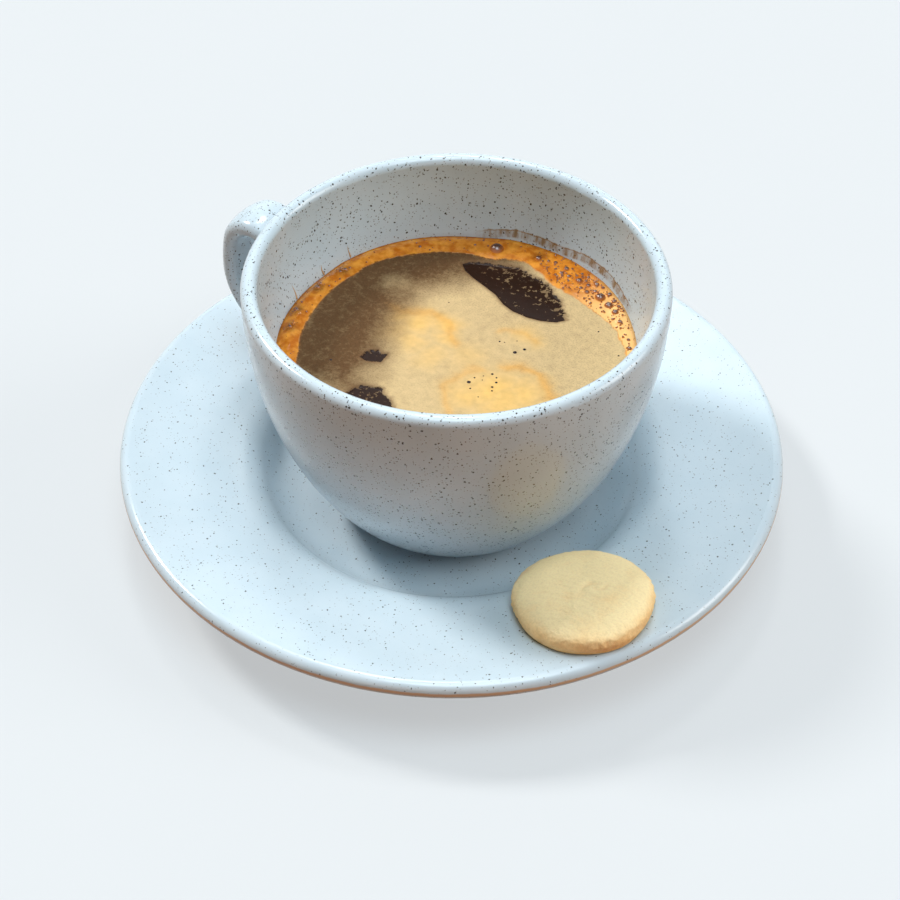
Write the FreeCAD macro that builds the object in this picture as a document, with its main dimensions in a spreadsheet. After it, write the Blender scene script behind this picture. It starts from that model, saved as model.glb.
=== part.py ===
"""Cup of black coffee on its saucer, with a small round biscuit.

Frame: millimetres, +Z up, origin on the table at the middle of the saucer's foot ring,
the cup's handle along -X.  Pieces: saucer, cup (bowl and handle are one firing), coffee,
crema and biscuit.  Every revolved or drawn piece is a PartDesign body bound to the sheet.
"""
import FreeCAD, Part
import math
import os
import Sketcher
from FreeCAD import Placement, Rotation, Vector

SIZES = [
    # saucer
    ("saucer_radius", 80.0, "outer edge of the saucer"),
    ("saucer_height", 20.0, "table to the top of the saucer's lip"),
    ("saucer_lip", 4.4, "thickness of the rounded lip"),
    ("saucer_wall", 4.8, "thickness of the broad rim at its inner end"),
    ("rim_slope", 9.5, "rise of the broad rim, degrees"),
    ("well_radius", 36.5, "flat floor of the well"),
    ("well_floor", 6.5, "table to the floor of the well"),
    ("well_curve", 10.4, "radius of both bends between well and rim"),
    ("saucer_foot_step", 10.5, "outside of the foot ring beyond the well's floor"),
    ("saucer_foot_width", 3.5, "width of the foot ring"),
    ("saucer_foot_height", 1.8, "depth of the recess inside the foot ring"),
    ("saucer_foot_bend", 4.0, "bend between foot ring and rim"),
    # cup
    ("cup_height", 62.5, "foot to the top of the rim"),
    ("rim_radius", 48.9, "outside of the rim"),
    ("cup_lip", 3.8, "thickness of the rounded rim"),
    ("belly_radius", 29.8, "outside of the bowl where its foot begins"),
    ("cup_base", 5.6, "thickness of the base over the foot's recess"),
    ("cup_foot_inset", 3.8, "foot ring in from the belly's edge"),
    ("cup_foot_width", 3.2, "width of the foot ring"),
    ("cup_foot_height", 1.9, "height of the foot ring"),
    ("belly_round", 2.0, "rounding of the belly's lower edge"),
    ("cup_shift_x", 0.7, "cup off the middle of the saucer, along X"),
    ("cup_shift_y", 0.5, "cup off the middle of the saucer, along Y"),
    # handle
    ("handle_width", 13.0, "width of the strap"),
    ("handle_thickness", 5.5, "thickness of the strap"),
    ("handle_edge", 2.2, "radius of the strap's edges"),
    ("handle_drop", 10.65, "top of the rim down to the strap's middle at the wall"),
    ("handle_rise", 15.0, "climb of the strap as it leaves the wall, degrees"),
    ("handle_reach", 15.1, "strap's middle beyond the rim"),
    ("handle_shoulder", 7.0, "bend at the strap's top corner"),
    ("handle_back", 40.0, "bend of the strap's back"),
    ("handle_heel", 16.0, "bend at the strap's lower corner"),
    ("handle_grip", 5.4, "outermost point above the middle of the two roots"),
    ("handle_foot", 16.3, "foot of the cup up to the strap's lower end"),
    ("handle_root", 8.0, "how far the strap's ends run into the bowl before it is hollowed"),
    ("handle_fillet", 2.0, "rounding where the strap meets the bowl"),
    # drink
    ("coffee_level", 41.8, "foot of the cup up to the top of the crema"),
    ("crema_thickness", 1.0, "thickness of the crema"),
    ("pour_gap", 0.3, "clearance between the drink and the bowl"),
    # biscuit
    ("biscuit_radius", 16.4, "mean radius of the biscuit"),
    ("biscuit_thickness", 7.0, "thickness at its middle"),
    ("biscuit_wobble", 0.4, "how far the outline strays from a circle"),
    ("biscuit_clear", 4.72, "clearance between the biscuit's edge and the bowl"),
    ("biscuit_azimuth", -26.4, "direction of the biscuit from +X, degrees"),
    ("biscuit_gap", 0.1, "clearance over the saucer's rim"),
]

# Openings in the crema where the dark coffee shows: name, distance from the middle,
# direction, length, width and turn of the long axis (millimetres and degrees).
CREMA_OPENINGS = [
    ("back", 24.9, 89.6, 32.4, 12.2, -6.4),
    ("left", 18.2, 226.1, 6.2, 3.0, 40.0),
    ("front", 25.5, 257.0, 13.0, 6.4, 12.0),
]

# Side view of the biscuit: share of its thickness, share of its radius.
BISCUIT_LAYERS = [
    (0.0, 0.93),
    (0.14, 0.985),
    (0.36, 1.0),
    (0.62, 0.96),
    (0.82, 0.85),
    (0.95, 0.58),
    (1.0, 0.22),
]
# Waves round the biscuit's edge: how many, strength, start in degrees.
BISCUIT_WAVES = [(2, 0.9, 20.0), (3, 0.6, 75.0), (5, 0.35, 10.0), (9, 0.2, 50.0)]
BISCUIT_POINTS = 40

# Heights and lengths in the cup's own frame (foot at 0) that several features share.
LIP_MIDDLE = "(Sizes.cup_height - Sizes.cup_lip / 2)"
INSIDE_RADIUS = "(Sizes.rim_radius - Sizes.cup_lip)"
INSIDE_DEPTH = f"({LIP_MIDDLE} - Sizes.cup_foot_height - Sizes.cup_base)"
POUR_RADIUS = f"({INSIDE_RADIUS} - Sizes.pour_gap)"
POUR_DEPTH = f"({INSIDE_DEPTH} - Sizes.pour_gap)"
BOWL_HEIGHT = f"({LIP_MIDDLE} - Sizes.cup_foot_height)"
# The bowl's outside is part of an ellipse that would close at this depth under the lip.
BOWL_DROP = f"({BOWL_HEIGHT} / sqrt(1 - (Sizes.belly_radius / Sizes.rim_radius)^2))"
CUP_FOOT = "(Sizes.belly_radius - Sizes.cup_foot_inset)"
SAUCER_FOOT = "(Sizes.well_radius + Sizes.saucer_foot_step)"
STRAP_TOP = "(Sizes.cup_height - Sizes.handle_drop)"
STRAP_START = f"({STRAP_TOP} - Sizes.handle_root * tan(Sizes.handle_rise))"
STRAP_GRIP = f"(({STRAP_TOP} + Sizes.handle_foot) / 2 + Sizes.handle_grip)"


def wall_radius(height):
    """Expression for the bowl's outside radius at a height above the cup's foot."""
    return f"(Sizes.rim_radius * sqrt(1 - (({LIP_MIDDLE} - {height}) / {BOWL_DROP})^2))"


STRAP_TOP_RADIUS = f"({wall_radius(STRAP_TOP)} - Sizes.handle_root)"
STRAP_FOOT_RADIUS = f"({wall_radius('Sizes.handle_foot')} - Sizes.handle_root)"

START, END, CENTRE = 1, 2, 3
ORIGIN, ORIGIN_POINT, UP_AXIS, FLAT_AXIS = -1, 1, -2, -1

doc = FreeCAD.newDocument("CoffeeCup")
sheet = doc.addObject("Spreadsheet::Sheet", "Sizes")
for row, (alias, value, meaning) in enumerate(SIZES, start=1):
    sheet.set(f"A{row}", meaning)
    sheet.set(f"B{row}", str(value))
    sheet.setAlias(f"B{row}", alias)
doc.recompute()


def size(alias):
    """Value of a named size."""
    return float(sheet.get(alias))


def polar(distance, degrees):
    """Point at a distance and direction from the origin of a plane."""
    angle = math.radians(degrees)
    return Vector(distance * math.cos(angle), distance * math.sin(angle), 0)


class Drawing:
    """A sketch on one of its body's origin planes, whose rules are bound to the sheet."""

    def __init__(self, body, name, plane):
        self.sketch = body.newObject("Sketcher::SketchObject", name)
        features = body.Origin.OriginFeatures
        support = next(item for item in features if item.Role == plane)
        self.sketch.AttachmentSupport = [(support, "")]
        self.sketch.MapMode = "FlatFace"

    def line(self, start, end):
        return self.sketch.addGeometry(Part.LineSegment(start, end), False)

    def arc(self, centre, radius, first, last):
        """Arc drawn counter-clockwise between two directions in degrees."""
        circle = Part.Circle(centre, Vector(0, 0, 1), radius)
        curve = Part.ArcOfCircle(circle, math.radians(first), math.radians(last))
        return self.sketch.addGeometry(curve, False)

    def rule(self, kind, *where):
        self.sketch.addConstraint(Sketcher.Constraint(kind, *where))

    def sized(self, name, kind, expression, *where):
        """A rule with a size: it starts at the drawn value and follows the expression."""
        index = self.sketch.addConstraint(Sketcher.Constraint(kind, *where))
        self.sketch.renameConstraint(index, name)
        self.sketch.setExpression(f"Constraints.{name}", expression)

    def place(self, name, geometry, point, across, up):
        """Hold a point at two expressions measured from the origin."""
        drawn = self.sketch.getPoint(geometry, point)
        place = (ORIGIN, ORIGIN_POINT, geometry, point)
        self.sized(f"{name}_across", "DistanceX", across, *place, drawn.x)
        self.sized(f"{name}_up", "DistanceY", up, *place, drawn.y)

    def radius(self, name, geometry, expression):
        drawn = self.sketch.Geometry[geometry].Radius
        self.sized(name, "Radius", expression, geometry, drawn)

    def smooth(self, first, first_end, second, second_end):
        self.rule("Tangent", first, first_end, second, second_end)

    def join(self, first, first_end, second, second_end):
        self.rule("Coincident", first, first_end, second, second_end)


def new_body(name):
    body = doc.addObject("PartDesign::Body", name)
    body.Label = name
    return body


def revolve(body, name, drawing):
    feature = body.newObject("PartDesign::Revolution", name)
    feature.Profile = drawing.sketch
    feature.ReferenceAxis = (drawing.sketch, ["V_Axis"])
    feature.Angle = 360
    body.Tip = feature
    doc.recompute()
    return feature


def ellipsoid(body, kind, name, radius, depth, low, high):
    """Zone of an ellipsoid centred on the cup's lip, between two of its parameter angles."""
    feature = body.newObject(f"PartDesign::{kind}", name)
    features = body.Origin.OriginFeatures
    plane = next(item for item in features if item.Role == "XY_Plane")
    feature.AttachmentSupport = [(plane, "")]
    feature.MapMode = "FlatFace"
    feature.Radius3 = 0
    feature.setExpression("Radius1", depth)
    feature.setExpression("Radius2", radius)
    feature.setExpression("Angle1", low)
    feature.setExpression("Angle2", high)
    feature.setExpression(".AttachmentOffset.Base.z", LIP_MIDDLE)
    body.Tip = feature
    doc.recompute()
    return feature


def stand_in_well(body):
    """Put a body of the cup's frame where the cup stands on the saucer."""
    body.setExpression(".Placement.Base.x", "Sizes.cup_shift_x")
    body.setExpression(".Placement.Base.y", "Sizes.cup_shift_y")
    body.setExpression(".Placement.Base.z", "Sizes.well_floor")


def draw_saucer(body):
    """Half section: floor, two bends, broad rim, round lip, underside and foot ring."""
    slope = size("rim_slope")
    curve = size("well_curve")
    floor = size("well_floor")
    well = size("well_radius")
    lip = size("saucer_lip") / 2
    foot = size("well_radius") + size("saucer_foot_step")
    foot_inside = foot - size("saucer_foot_width")
    recess = size("saucer_foot_height")
    foot_bend = size("saucer_foot_bend")
    lip_centre = Vector(size("saucer_radius") - lip, size("saucer_height") - lip, 0)
    lip_top = lip_centre + polar(lip, 90 + slope)
    lip_under = lip_centre - polar(lip, 90 + slope)
    rise = math.tan(math.radians(slope))
    rim_inner = well + 1.45 * curve
    rim_start = Vector(rim_inner, lip_top.y - (lip_top.x - rim_inner) * rise, 0)
    top_centre = rim_start - polar(curve, 90 + slope)
    low_centre = Vector(well, floor + curve, 0)
    between = (top_centre + low_centre) * 0.5
    turn = math.degrees(math.atan2(between.y - top_centre.y, between.x - top_centre.x))
    bend_centre = Vector(foot + foot_bend, rim_start.y - size("saucer_wall") - foot_bend, 0)

    plan = Drawing(body, "SaucerSection", "XZ_Plane")
    floor_line = plan.line(Vector(0, floor, 0), Vector(well, floor, 0))
    low_bend = plan.arc(low_centre, curve, -90, turn - 180)
    top_bend = plan.arc(top_centre, curve, 90 + slope, turn)
    rim = plan.line(rim_start, lip_top)
    lip_arc = plan.arc(lip_centre, lip, slope - 90, slope + 90)
    under = plan.line(lip_under, bend_centre + polar(foot_bend, 90 + slope))
    foot_arc = plan.arc(bend_centre, foot_bend, 90 + slope, 180)
    foot_wall = plan.line(Vector(foot, bend_centre.y, 0), Vector(foot, 0, 0))
    foot_face = plan.line(Vector(foot, 0, 0), Vector(foot_inside, 0, 0))
    foot_step = plan.line(Vector(foot_inside, 0, 0), Vector(foot_inside, recess, 0))
    ceiling = plan.line(Vector(foot_inside, recess, 0), Vector(0, recess, 0))
    middle = plan.line(Vector(0, recess, 0), Vector(0, floor, 0))

    plan.smooth(floor_line, END, low_bend, START)
    plan.smooth(low_bend, END, top_bend, END)
    plan.smooth(top_bend, START, rim, START)
    plan.smooth(rim, END, lip_arc, END)
    plan.smooth(lip_arc, START, under, START)
    plan.smooth(under, END, foot_arc, START)
    plan.smooth(foot_arc, END, foot_wall, START)
    plan.join(foot_wall, END, foot_face, START)
    plan.join(foot_face, END, foot_step, START)
    plan.join(foot_step, END, ceiling, START)
    plan.join(ceiling, END, middle, START)
    plan.join(middle, END, floor_line, START)
    for level in (floor_line, ceiling, foot_face):
        plan.rule("Horizontal", level)
    for upright in (foot_wall, foot_step, middle):
        plan.rule("Vertical", upright)
    plan.rule("PointOnObject", middle, START, UP_AXIS)
    plan.rule("PointOnObject", foot_face, START, FLAT_AXIS)
    plan.place("well", floor_line, END, "Sizes.well_radius", "Sizes.well_floor")
    plan.radius("well_curve", low_bend, "Sizes.well_curve")
    plan.rule("Equal", low_bend, top_bend)
    plan.sized("slope", "Angle", "Sizes.rim_slope", rim, math.radians(slope))
    plan.radius("lip", lip_arc, "Sizes.saucer_lip / 2")
    across = "Sizes.saucer_radius - Sizes.saucer_lip / 2"
    plan.place("lip_middle", lip_arc, CENTRE, across, "Sizes.saucer_height - Sizes.saucer_lip / 2")
    wall = size("saucer_wall")
    plan.sized("wall", "Distance", "Sizes.saucer_wall", rim, START, under, wall)
    plan.radius("foot_bend", foot_arc, "Sizes.saucer_foot_bend")
    outer = (ORIGIN, ORIGIN_POINT, foot_face, START, foot)
    plan.sized("foot", "DistanceX", SAUCER_FOOT, *outer)
    inner = f"{SAUCER_FOOT} - Sizes.saucer_foot_width"
    plan.place("recess", foot_step, END, inner, "Sizes.saucer_foot_height")
    return plan


def draw_cup_foot(body):
    """Section of the foot ring under the bowl."""
    outer = size("belly_radius") - size("cup_foot_inset")
    inner = outer - size("cup_foot_width")
    top = size("cup_foot_height")
    plan = Drawing(body, "FootSection", "XZ_Plane")
    corners = [(inner, 0), (outer, 0), (outer, top), (inner, top)]
    points = [Vector(across, up, 0) for across, up in corners]
    sides = [plan.line(points[k], points[(k + 1) % 4]) for k in range(4)]
    for k in range(4):
        plan.join(sides[k], END, sides[(k + 1) % 4], START)
    plan.rule("Horizontal", sides[0])
    plan.rule("Horizontal", sides[2])
    plan.rule("Vertical", sides[1])
    plan.rule("Vertical", sides[3])
    plan.rule("PointOnObject", sides[0], START, FLAT_AXIS)
    plan.place("outer_top", sides[1], END, CUP_FOOT, "Sizes.cup_foot_height")
    across = (ORIGIN, ORIGIN_POINT, sides[0], START, inner)
    plan.sized("inner", "DistanceX", f"{CUP_FOOT} - Sizes.cup_foot_width", *across)
    return plan


def draw_cup_lip(body):
    """Half disc that rounds the top of the wall."""
    half = size("cup_lip") / 2
    middle = Vector(size("rim_radius") - half, size("cup_height") - half, 0)
    plan = Drawing(body, "LipSection", "XZ_Plane")
    chord = plan.line(middle - Vector(half, 0, 0), middle + Vector(half, 0, 0))
    round_top = plan.arc(middle, half, 0, 180)
    plan.join(chord, END, round_top, START)
    plan.join(chord, START, round_top, END)
    plan.rule("PointOnObject", round_top, CENTRE, chord)
    plan.rule("Horizontal", chord)
    plan.radius("half_lip", round_top, "Sizes.cup_lip / 2")
    across = "Sizes.rim_radius - Sizes.cup_lip / 2"
    plan.place("middle", round_top, CENTRE, across, LIP_MIDDLE)
    return plan


def number(expression):
    """Number that an expression of named sizes gives now."""
    probe = doc.addObject("App::FeaturePython", "Probe")
    probe.addProperty("App::PropertyFloat", "Result")
    probe.setExpression("Result", expression)
    doc.recompute()
    result = probe.Result
    doc.removeObject(probe.Name)
    return result


def draw_strap_path(body):
    """Middle line of the handle: out of the wall, over the top corner, down and back."""
    rise = size("handle_rise")
    shoulder = size("handle_shoulder")
    back = size("handle_back")
    heel = size("handle_heel")
    top_root = Vector(-number(STRAP_TOP_RADIUS), number(STRAP_START), 0)
    low_root = Vector(-number(STRAP_FOOT_RADIUS), size("handle_foot"), 0)
    grip = Vector(-(size("rim_radius") + size("handle_reach")), number(STRAP_GRIP), 0)
    back_centre = grip + Vector(back, 0, 0)
    heel_centre = grip + Vector(heel, 0, 0)

    # The top corner's centre lies a shoulder's radius under the first run, and on a circle
    # round the back's centre.
    heading = polar(1, 180 - rise)
    under_run = top_root + polar(shoulder, 270 - rise)
    offset = under_run - back_centre
    along = offset.dot(heading)
    run = math.sqrt(along ** 2 - offset.dot(offset) + (back - shoulder) ** 2) - along
    shoulder_centre = under_run + heading * run
    corner = shoulder_centre - back_centre
    corner_turn = math.degrees(math.atan2(corner.y, corner.x))

    # The last run is tangent to the heel.
    to_root = low_root - heel_centre
    root_turn = math.degrees(math.atan2(to_root.y, to_root.x)) % 360
    heel_turn = root_turn - math.degrees(math.acos(heel / to_root.Length))

    path = Drawing(body, "StrapPath", "XZ_Plane")
    first = path.line(top_root, top_root + heading * run)
    top_arc = path.arc(shoulder_centre, shoulder, 90 - rise, corner_turn)
    back_arc = path.arc(back_centre, back, corner_turn, 180)
    heel_arc = path.arc(heel_centre, heel, 180, heel_turn)
    last = path.line(heel_centre + polar(heel, heel_turn), low_root)
    path.smooth(first, END, top_arc, START)
    path.smooth(top_arc, END, back_arc, START)
    path.smooth(back_arc, END, heel_arc, START)
    path.smooth(heel_arc, END, last, START)
    path.place("top_root", first, START, f"-{STRAP_TOP_RADIUS}", STRAP_START)
    path.place("low_root", last, END, f"-{STRAP_FOOT_RADIUS}", "Sizes.handle_foot")
    path.place("grip", back_arc, END, "-(Sizes.rim_radius + Sizes.handle_reach)", STRAP_GRIP)
    path.rule("Horizontal", back_arc, CENTRE, back_arc, END)
    leaving = math.radians(180 - rise)
    path.sized("rise", "Angle", "180 - Sizes.handle_rise", first, leaving)
    path.radius("shoulder", top_arc, "Sizes.handle_shoulder")
    path.radius("back", back_arc, "Sizes.handle_back")
    path.radius("heel", heel_arc, "Sizes.handle_heel")
    return path


def draw_strap_section(body):
    """Oval of the strap: two crowned faces between two round edges."""
    edge = size("handle_edge")
    reach = size("handle_width") / 2 - edge
    half = size("handle_thickness") / 2
    crown = (reach ** 2 + half ** 2 - edge ** 2) / (2 * (half - edge))
    crown_centre = crown - half
    turn = math.degrees(math.atan2(crown_centre, reach))
    plan = Drawing(body, "StrapSection", "YZ_Plane")
    right = plan.arc(Vector(reach, 0, 0), edge, -turn, turn)
    top = plan.arc(Vector(0, -crown_centre, 0), crown, turn, 180 - turn)
    left = plan.arc(Vector(-reach, 0, 0), edge, 180 - turn, 180 + turn)
    low = plan.arc(Vector(0, crown_centre, 0), crown, 180 + turn, 360 - turn)
    plan.smooth(right, END, top, START)
    plan.smooth(top, END, left, START)
    plan.smooth(left, END, low, START)
    plan.smooth(low, END, right, START)
    plan.rule("PointOnObject", right, CENTRE, FLAT_AXIS)
    half_width = "Sizes.handle_width / 2 - Sizes.handle_edge"
    plan.sized("side", "DistanceX", half_width, ORIGIN, ORIGIN_POINT, right, CENTRE, reach)
    plan.rule("Symmetric", right, CENTRE, left, CENTRE, ORIGIN, ORIGIN_POINT)
    plan.rule("Equal", right, left)
    plan.rule("Equal", top, low)
    plan.radius("edge", right, "Sizes.handle_edge")
    side = "(Sizes.handle_width / 2 - Sizes.handle_edge)"
    thick = "(Sizes.handle_thickness / 2)"
    squares = f"({side}^2 + {thick}^2 - Sizes.handle_edge^2)"
    plan.radius("crown", top, f"{squares} / (2 * ({thick} - Sizes.handle_edge))")
    offset = ".AttachmentOffset"
    plan.sketch.AttachmentOffset = Placement(Vector(0, 0, 0), Rotation(Vector(1, 0, 0), 1))
    plan.sketch.setExpression(f"{offset}.Rotation.Angle", "Sizes.handle_rise")
    plan.sketch.setExpression(f"{offset}.Base.y", STRAP_START)
    plan.sketch.setExpression(f"{offset}.Base.z", f"-{STRAP_TOP_RADIUS}")
    return plan


def on_bowl(vertex):
    """Whether a point lies on the bowl's outside."""
    depth = (number(LIP_MIDDLE) - vertex.Z) / number(BOWL_DROP)
    radius = size("rim_radius") * math.sqrt(max(0.0, 1 - depth ** 2))
    return abs(math.hypot(vertex.X, vertex.Y) - radius) < 0.01


def root_edges(feature):
    """Edges where the strap runs into the bowl's outside."""
    names = []
    for index, edge in enumerate(feature.Shape.Edges, start=1):
        beside = edge.BoundBox.XMax < -size("belly_radius")
        narrow = edge.BoundBox.YLength < size("handle_width") + 1
        if beside and narrow and all(on_bowl(vertex) for vertex in edge.Vertexes):
            names.append(f"Edge{index}")
    return names


def fillet(body, name, base, edges, radius):
    feature = body.newObject("PartDesign::Fillet", name)
    feature.Base = (base, edges)
    feature.setExpression("Radius", radius)
    body.Tip = feature
    doc.recompute()
    return feature


def build_saucer():
    body = new_body("saucer")
    revolve(body, "SaucerTurned", draw_saucer(body))
    return body


def build_cup():
    """Outside of the bowl, foot ring and handle, then the inside and the round lip."""
    body = new_body("cup")
    closing = f"-asin({BOWL_HEIGHT} / {BOWL_DROP})"
    ellipsoid(body, "AdditiveEllipsoid", "BowlOutside", "Sizes.rim_radius", BOWL_DROP, closing, "0")
    foot = revolve(body, "FootRing", draw_cup_foot(body))
    belly = [
        f"Edge{index}"
        for index, edge in enumerate(foot.Shape.Edges, start=1)
        if abs(edge.BoundBox.ZMax - size("cup_foot_height")) < 0.01
        and abs(edge.BoundBox.XMax - size("belly_radius")) < 0.05
    ]
    fillet(body, "BellyEdge", foot, belly, "Sizes.belly_round")
    path = draw_strap_path(body)
    section = draw_strap_section(body)
    strap = body.newObject("PartDesign::AdditivePipe", "Strap")
    strap.Profile = section.sketch
    strap.Spine = (path.sketch, [f"Edge{k}" for k in range(1, 6)])
    body.Tip = strap
    doc.recompute()
    fillet(body, "StrapRoots", strap, root_edges(strap), "Sizes.handle_fillet")
    ellipsoid(body, "SubtractiveEllipsoid", "BowlInside", INSIDE_RADIUS, INSIDE_DEPTH, "-90", "0")
    revolve(body, "RoundLip", draw_cup_lip(body))
    stand_in_well(body)
    return body


def pour_angle(height):
    """Ellipsoid angle at which the drink's surface reaches a height over the cup's foot."""
    return f"-asin(({LIP_MIDDLE} - {height}) / {POUR_DEPTH})"


def build_coffee():
    body = new_body("coffee")
    surface = pour_angle("(Sizes.coffee_level - Sizes.crema_thickness)")
    ellipsoid(body, "AdditiveEllipsoid", "Coffee", POUR_RADIUS, POUR_DEPTH, "-90", surface)
    stand_in_well(body)
    return body


def cut_opening(body, name, distance, direction, length, width, turn):
    """Leaf-shaped opening through the crema: two equal arcs between two tips."""
    middle = polar(distance, direction)
    along = polar(length / 2, turn)
    radius = (length ** 2 + width ** 2) / (4 * width)
    toward = polar(radius - width / 2, turn + 90)
    spread = math.degrees(math.asin(length / 2 / radius))
    plan = Drawing(body, f"Opening_{name}", "XY_Plane")
    upper = plan.arc(middle - toward, radius, turn + 90 - spread, turn + 90 + spread)
    lower = plan.arc(middle + toward, radius, turn - 90 - spread, turn - 90 + spread)
    plan.join(upper, START, lower, END)
    plan.join(upper, END, lower, START)
    plan.rule("Equal", upper, lower)
    first = middle + along
    second = middle - along
    plan.place("first_tip", upper, START, f"{first.x:.4f}", f"{first.y:.4f}")
    plan.place("second_tip", upper, END, f"{second.x:.4f}", f"{second.y:.4f}")
    plan.radius("bulge", upper, f"{radius:.4f}")
    before = body.Shape.Volume
    pocket = body.newObject("PartDesign::Pocket", f"Cut_{name}")
    pocket.Profile = plan.sketch
    pocket.Type = "ThroughAll"
    pocket.Reversed = True
    body.Tip = pocket
    doc.recompute()
    if before - pocket.Shape.Volume < 0.5 * length * width * size("crema_thickness"):
        raise RuntimeError(f"opening {name} cuts too little of the crema")


def build_crema():
    """Thin layer of froth, open where the dark coffee shows."""
    body = new_body("crema")
    low = pour_angle("(Sizes.coffee_level - Sizes.crema_thickness)")
    high = pour_angle("Sizes.coffee_level")
    ellipsoid(body, "AdditiveEllipsoid", "Crema", POUR_RADIUS, POUR_DEPTH, low, high)
    for opening in CREMA_OPENINGS:
        cut_opening(body, *opening)
    stand_in_well(body)
    return body


def biscuit_outline(radius, height):
    """Closed uneven outline of the biscuit at one height."""
    points = []
    for k in range(BISCUIT_POINTS):
        direction = 360.0 * k / BISCUIT_POINTS
        stray = 0.0
        for count, strength, start in BISCUIT_WAVES:
            stray += strength * math.cos(math.radians(count * direction + start))
        point = polar(radius + size("biscuit_wobble") * stray, direction)
        points.append(Vector(point.x, point.y, height))
    curve = Part.BSplineCurve()
    curve.interpolate(Points=points, PeriodicFlag=True)
    return Part.Wire(curve.toShape())


def rim_surface(distance):
    """Height of the saucer's broad rim at a distance from the middle."""
    slope = math.radians(size("rim_slope"))
    half_lip = size("saucer_lip") / 2
    touch = size("saucer_radius") - half_lip - half_lip * math.sin(slope)
    top = size("saucer_height") - half_lip + half_lip * math.cos(slope)
    return top - (touch - distance) * math.tan(slope)


def build_biscuit():
    """Baked round, lofted through its layers, lying along the slope of the saucer's rim."""
    radius = size("biscuit_radius")
    thickness = size("biscuit_thickness")
    layers = [biscuit_outline(radius * wide, thickness * high) for high, wide in BISCUIT_LAYERS]
    top = "(Sizes.saucer_height + Sizes.biscuit_thickness - Sizes.well_floor)"
    distance = number(wall_radius(top)) + size("biscuit_clear") + radius
    # The rim curves round the biscuit, so its flat underside bears at its two sides.
    slope = math.radians(size("rim_slope"))
    bearing = math.hypot(distance, radius) - distance
    lift = bearing * math.sin(slope) + size("biscuit_gap")
    spot = Vector(distance, 0, rim_surface(distance))
    tilt = Rotation(Vector(0, 1, 0), -size("rim_slope"))
    turn = Rotation(Vector(0, 0, 1), size("biscuit_azimuth"))
    spot += tilt.multVec(Vector(0, 0, lift))
    biscuit = doc.addObject("Part::Feature", "biscuit")
    biscuit.Label = "biscuit"
    biscuit.Shape = Part.makeLoft(layers, True, False)
    biscuit.Placement = Placement(turn.multVec(spot), turn.multiply(tilt))
    return biscuit


def check(pieces):
    """Stop if any object failed or any piece has no sound shape."""
    for item in doc.Objects:
        if "Invalid" in item.State or "Error" in item.State:
            raise RuntimeError(f"{item.Name} failed: {item.State}")
    for piece in pieces:
        if piece.Shape.isNull() or not piece.Shape.isValid():
            raise RuntimeError(f"{piece.Label} has no sound shape")
        if len(piece.Shape.Solids) != 1:
            raise RuntimeError(f"{piece.Label} has {len(piece.Shape.Solids)} solids")


def main():
    pieces = [build_saucer(), build_cup(), build_coffee(), build_crema(), build_biscuit()]
    doc.recompute()
    check(pieces)
    os.makedirs("parts", exist_ok=True)
    for piece in pieces:
        piece.Shape.exportStep(f"parts/{piece.Label}.step")
        print(piece.Label, round(piece.Shape.Volume, 1), piece.Shape.BoundBox)


main()
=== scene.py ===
"""Cup of black coffee with crema on its saucer, with a small round biscuit."""
import math

import bmesh
import bpy
import numpy as np
from bpy.props import FloatProperty, FloatVectorProperty, IntProperty, PointerProperty
from mathutils import Matrix, Vector, noise


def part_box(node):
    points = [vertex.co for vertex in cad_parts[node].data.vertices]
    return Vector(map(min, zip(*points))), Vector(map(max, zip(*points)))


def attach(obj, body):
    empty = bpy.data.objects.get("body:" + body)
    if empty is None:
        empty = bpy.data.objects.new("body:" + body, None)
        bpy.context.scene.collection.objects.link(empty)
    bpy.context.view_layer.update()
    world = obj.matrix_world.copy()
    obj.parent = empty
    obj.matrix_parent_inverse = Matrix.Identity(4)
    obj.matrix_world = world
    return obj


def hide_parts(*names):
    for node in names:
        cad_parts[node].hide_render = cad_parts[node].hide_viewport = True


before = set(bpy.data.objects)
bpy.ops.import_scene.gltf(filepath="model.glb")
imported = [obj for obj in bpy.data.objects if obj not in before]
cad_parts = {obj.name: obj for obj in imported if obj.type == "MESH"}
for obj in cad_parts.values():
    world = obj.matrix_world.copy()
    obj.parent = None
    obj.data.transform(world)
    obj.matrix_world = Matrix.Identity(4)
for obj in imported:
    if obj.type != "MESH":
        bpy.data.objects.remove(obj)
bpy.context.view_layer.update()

bl_info = {
    "name": "Coffee Cup Dresser",
    "version": (1, 0, 0),
    "blender": (4, 5, 0),
    "location": "3D View > Sidebar > Coffee Cup",
    "description": "Glazes the cup and saucer and makes the coffee, its crema, bubbles and biscuit",
    "category": "Object",
}

MM = 0.001
SAUCER_LOW, SAUCER_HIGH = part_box("saucer")
CUP_LOW, CUP_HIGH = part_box("cup")
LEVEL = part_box("crema")[1].z
RIM_RADIUS = (CUP_HIGH.y - CUP_LOW.y) / 2
CUP_AXIS = Vector((CUP_HIGH.x - RIM_RADIUS, (CUP_HIGH.y + CUP_LOW.y) / 2, 0))
SAUCER_AXIS = (SAUCER_LOW + SAUCER_HIGH) / 2

# How far the foam and the coffee reach into the cup's wall, so that no gap shows.
FOAM_REACH = 0.15 * MM
POUR_REACH = 0.12 * MM
# The crema's sheet has this many points round each ring, and this many rings.
FOAM_AROUND, FOAM_RINGS = 720, 124
# What the foam is like from point to point, for its material to read.
FIELDS = ("froth", "opening", "ragged", "gold", "amber", "brown", "grain")

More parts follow.
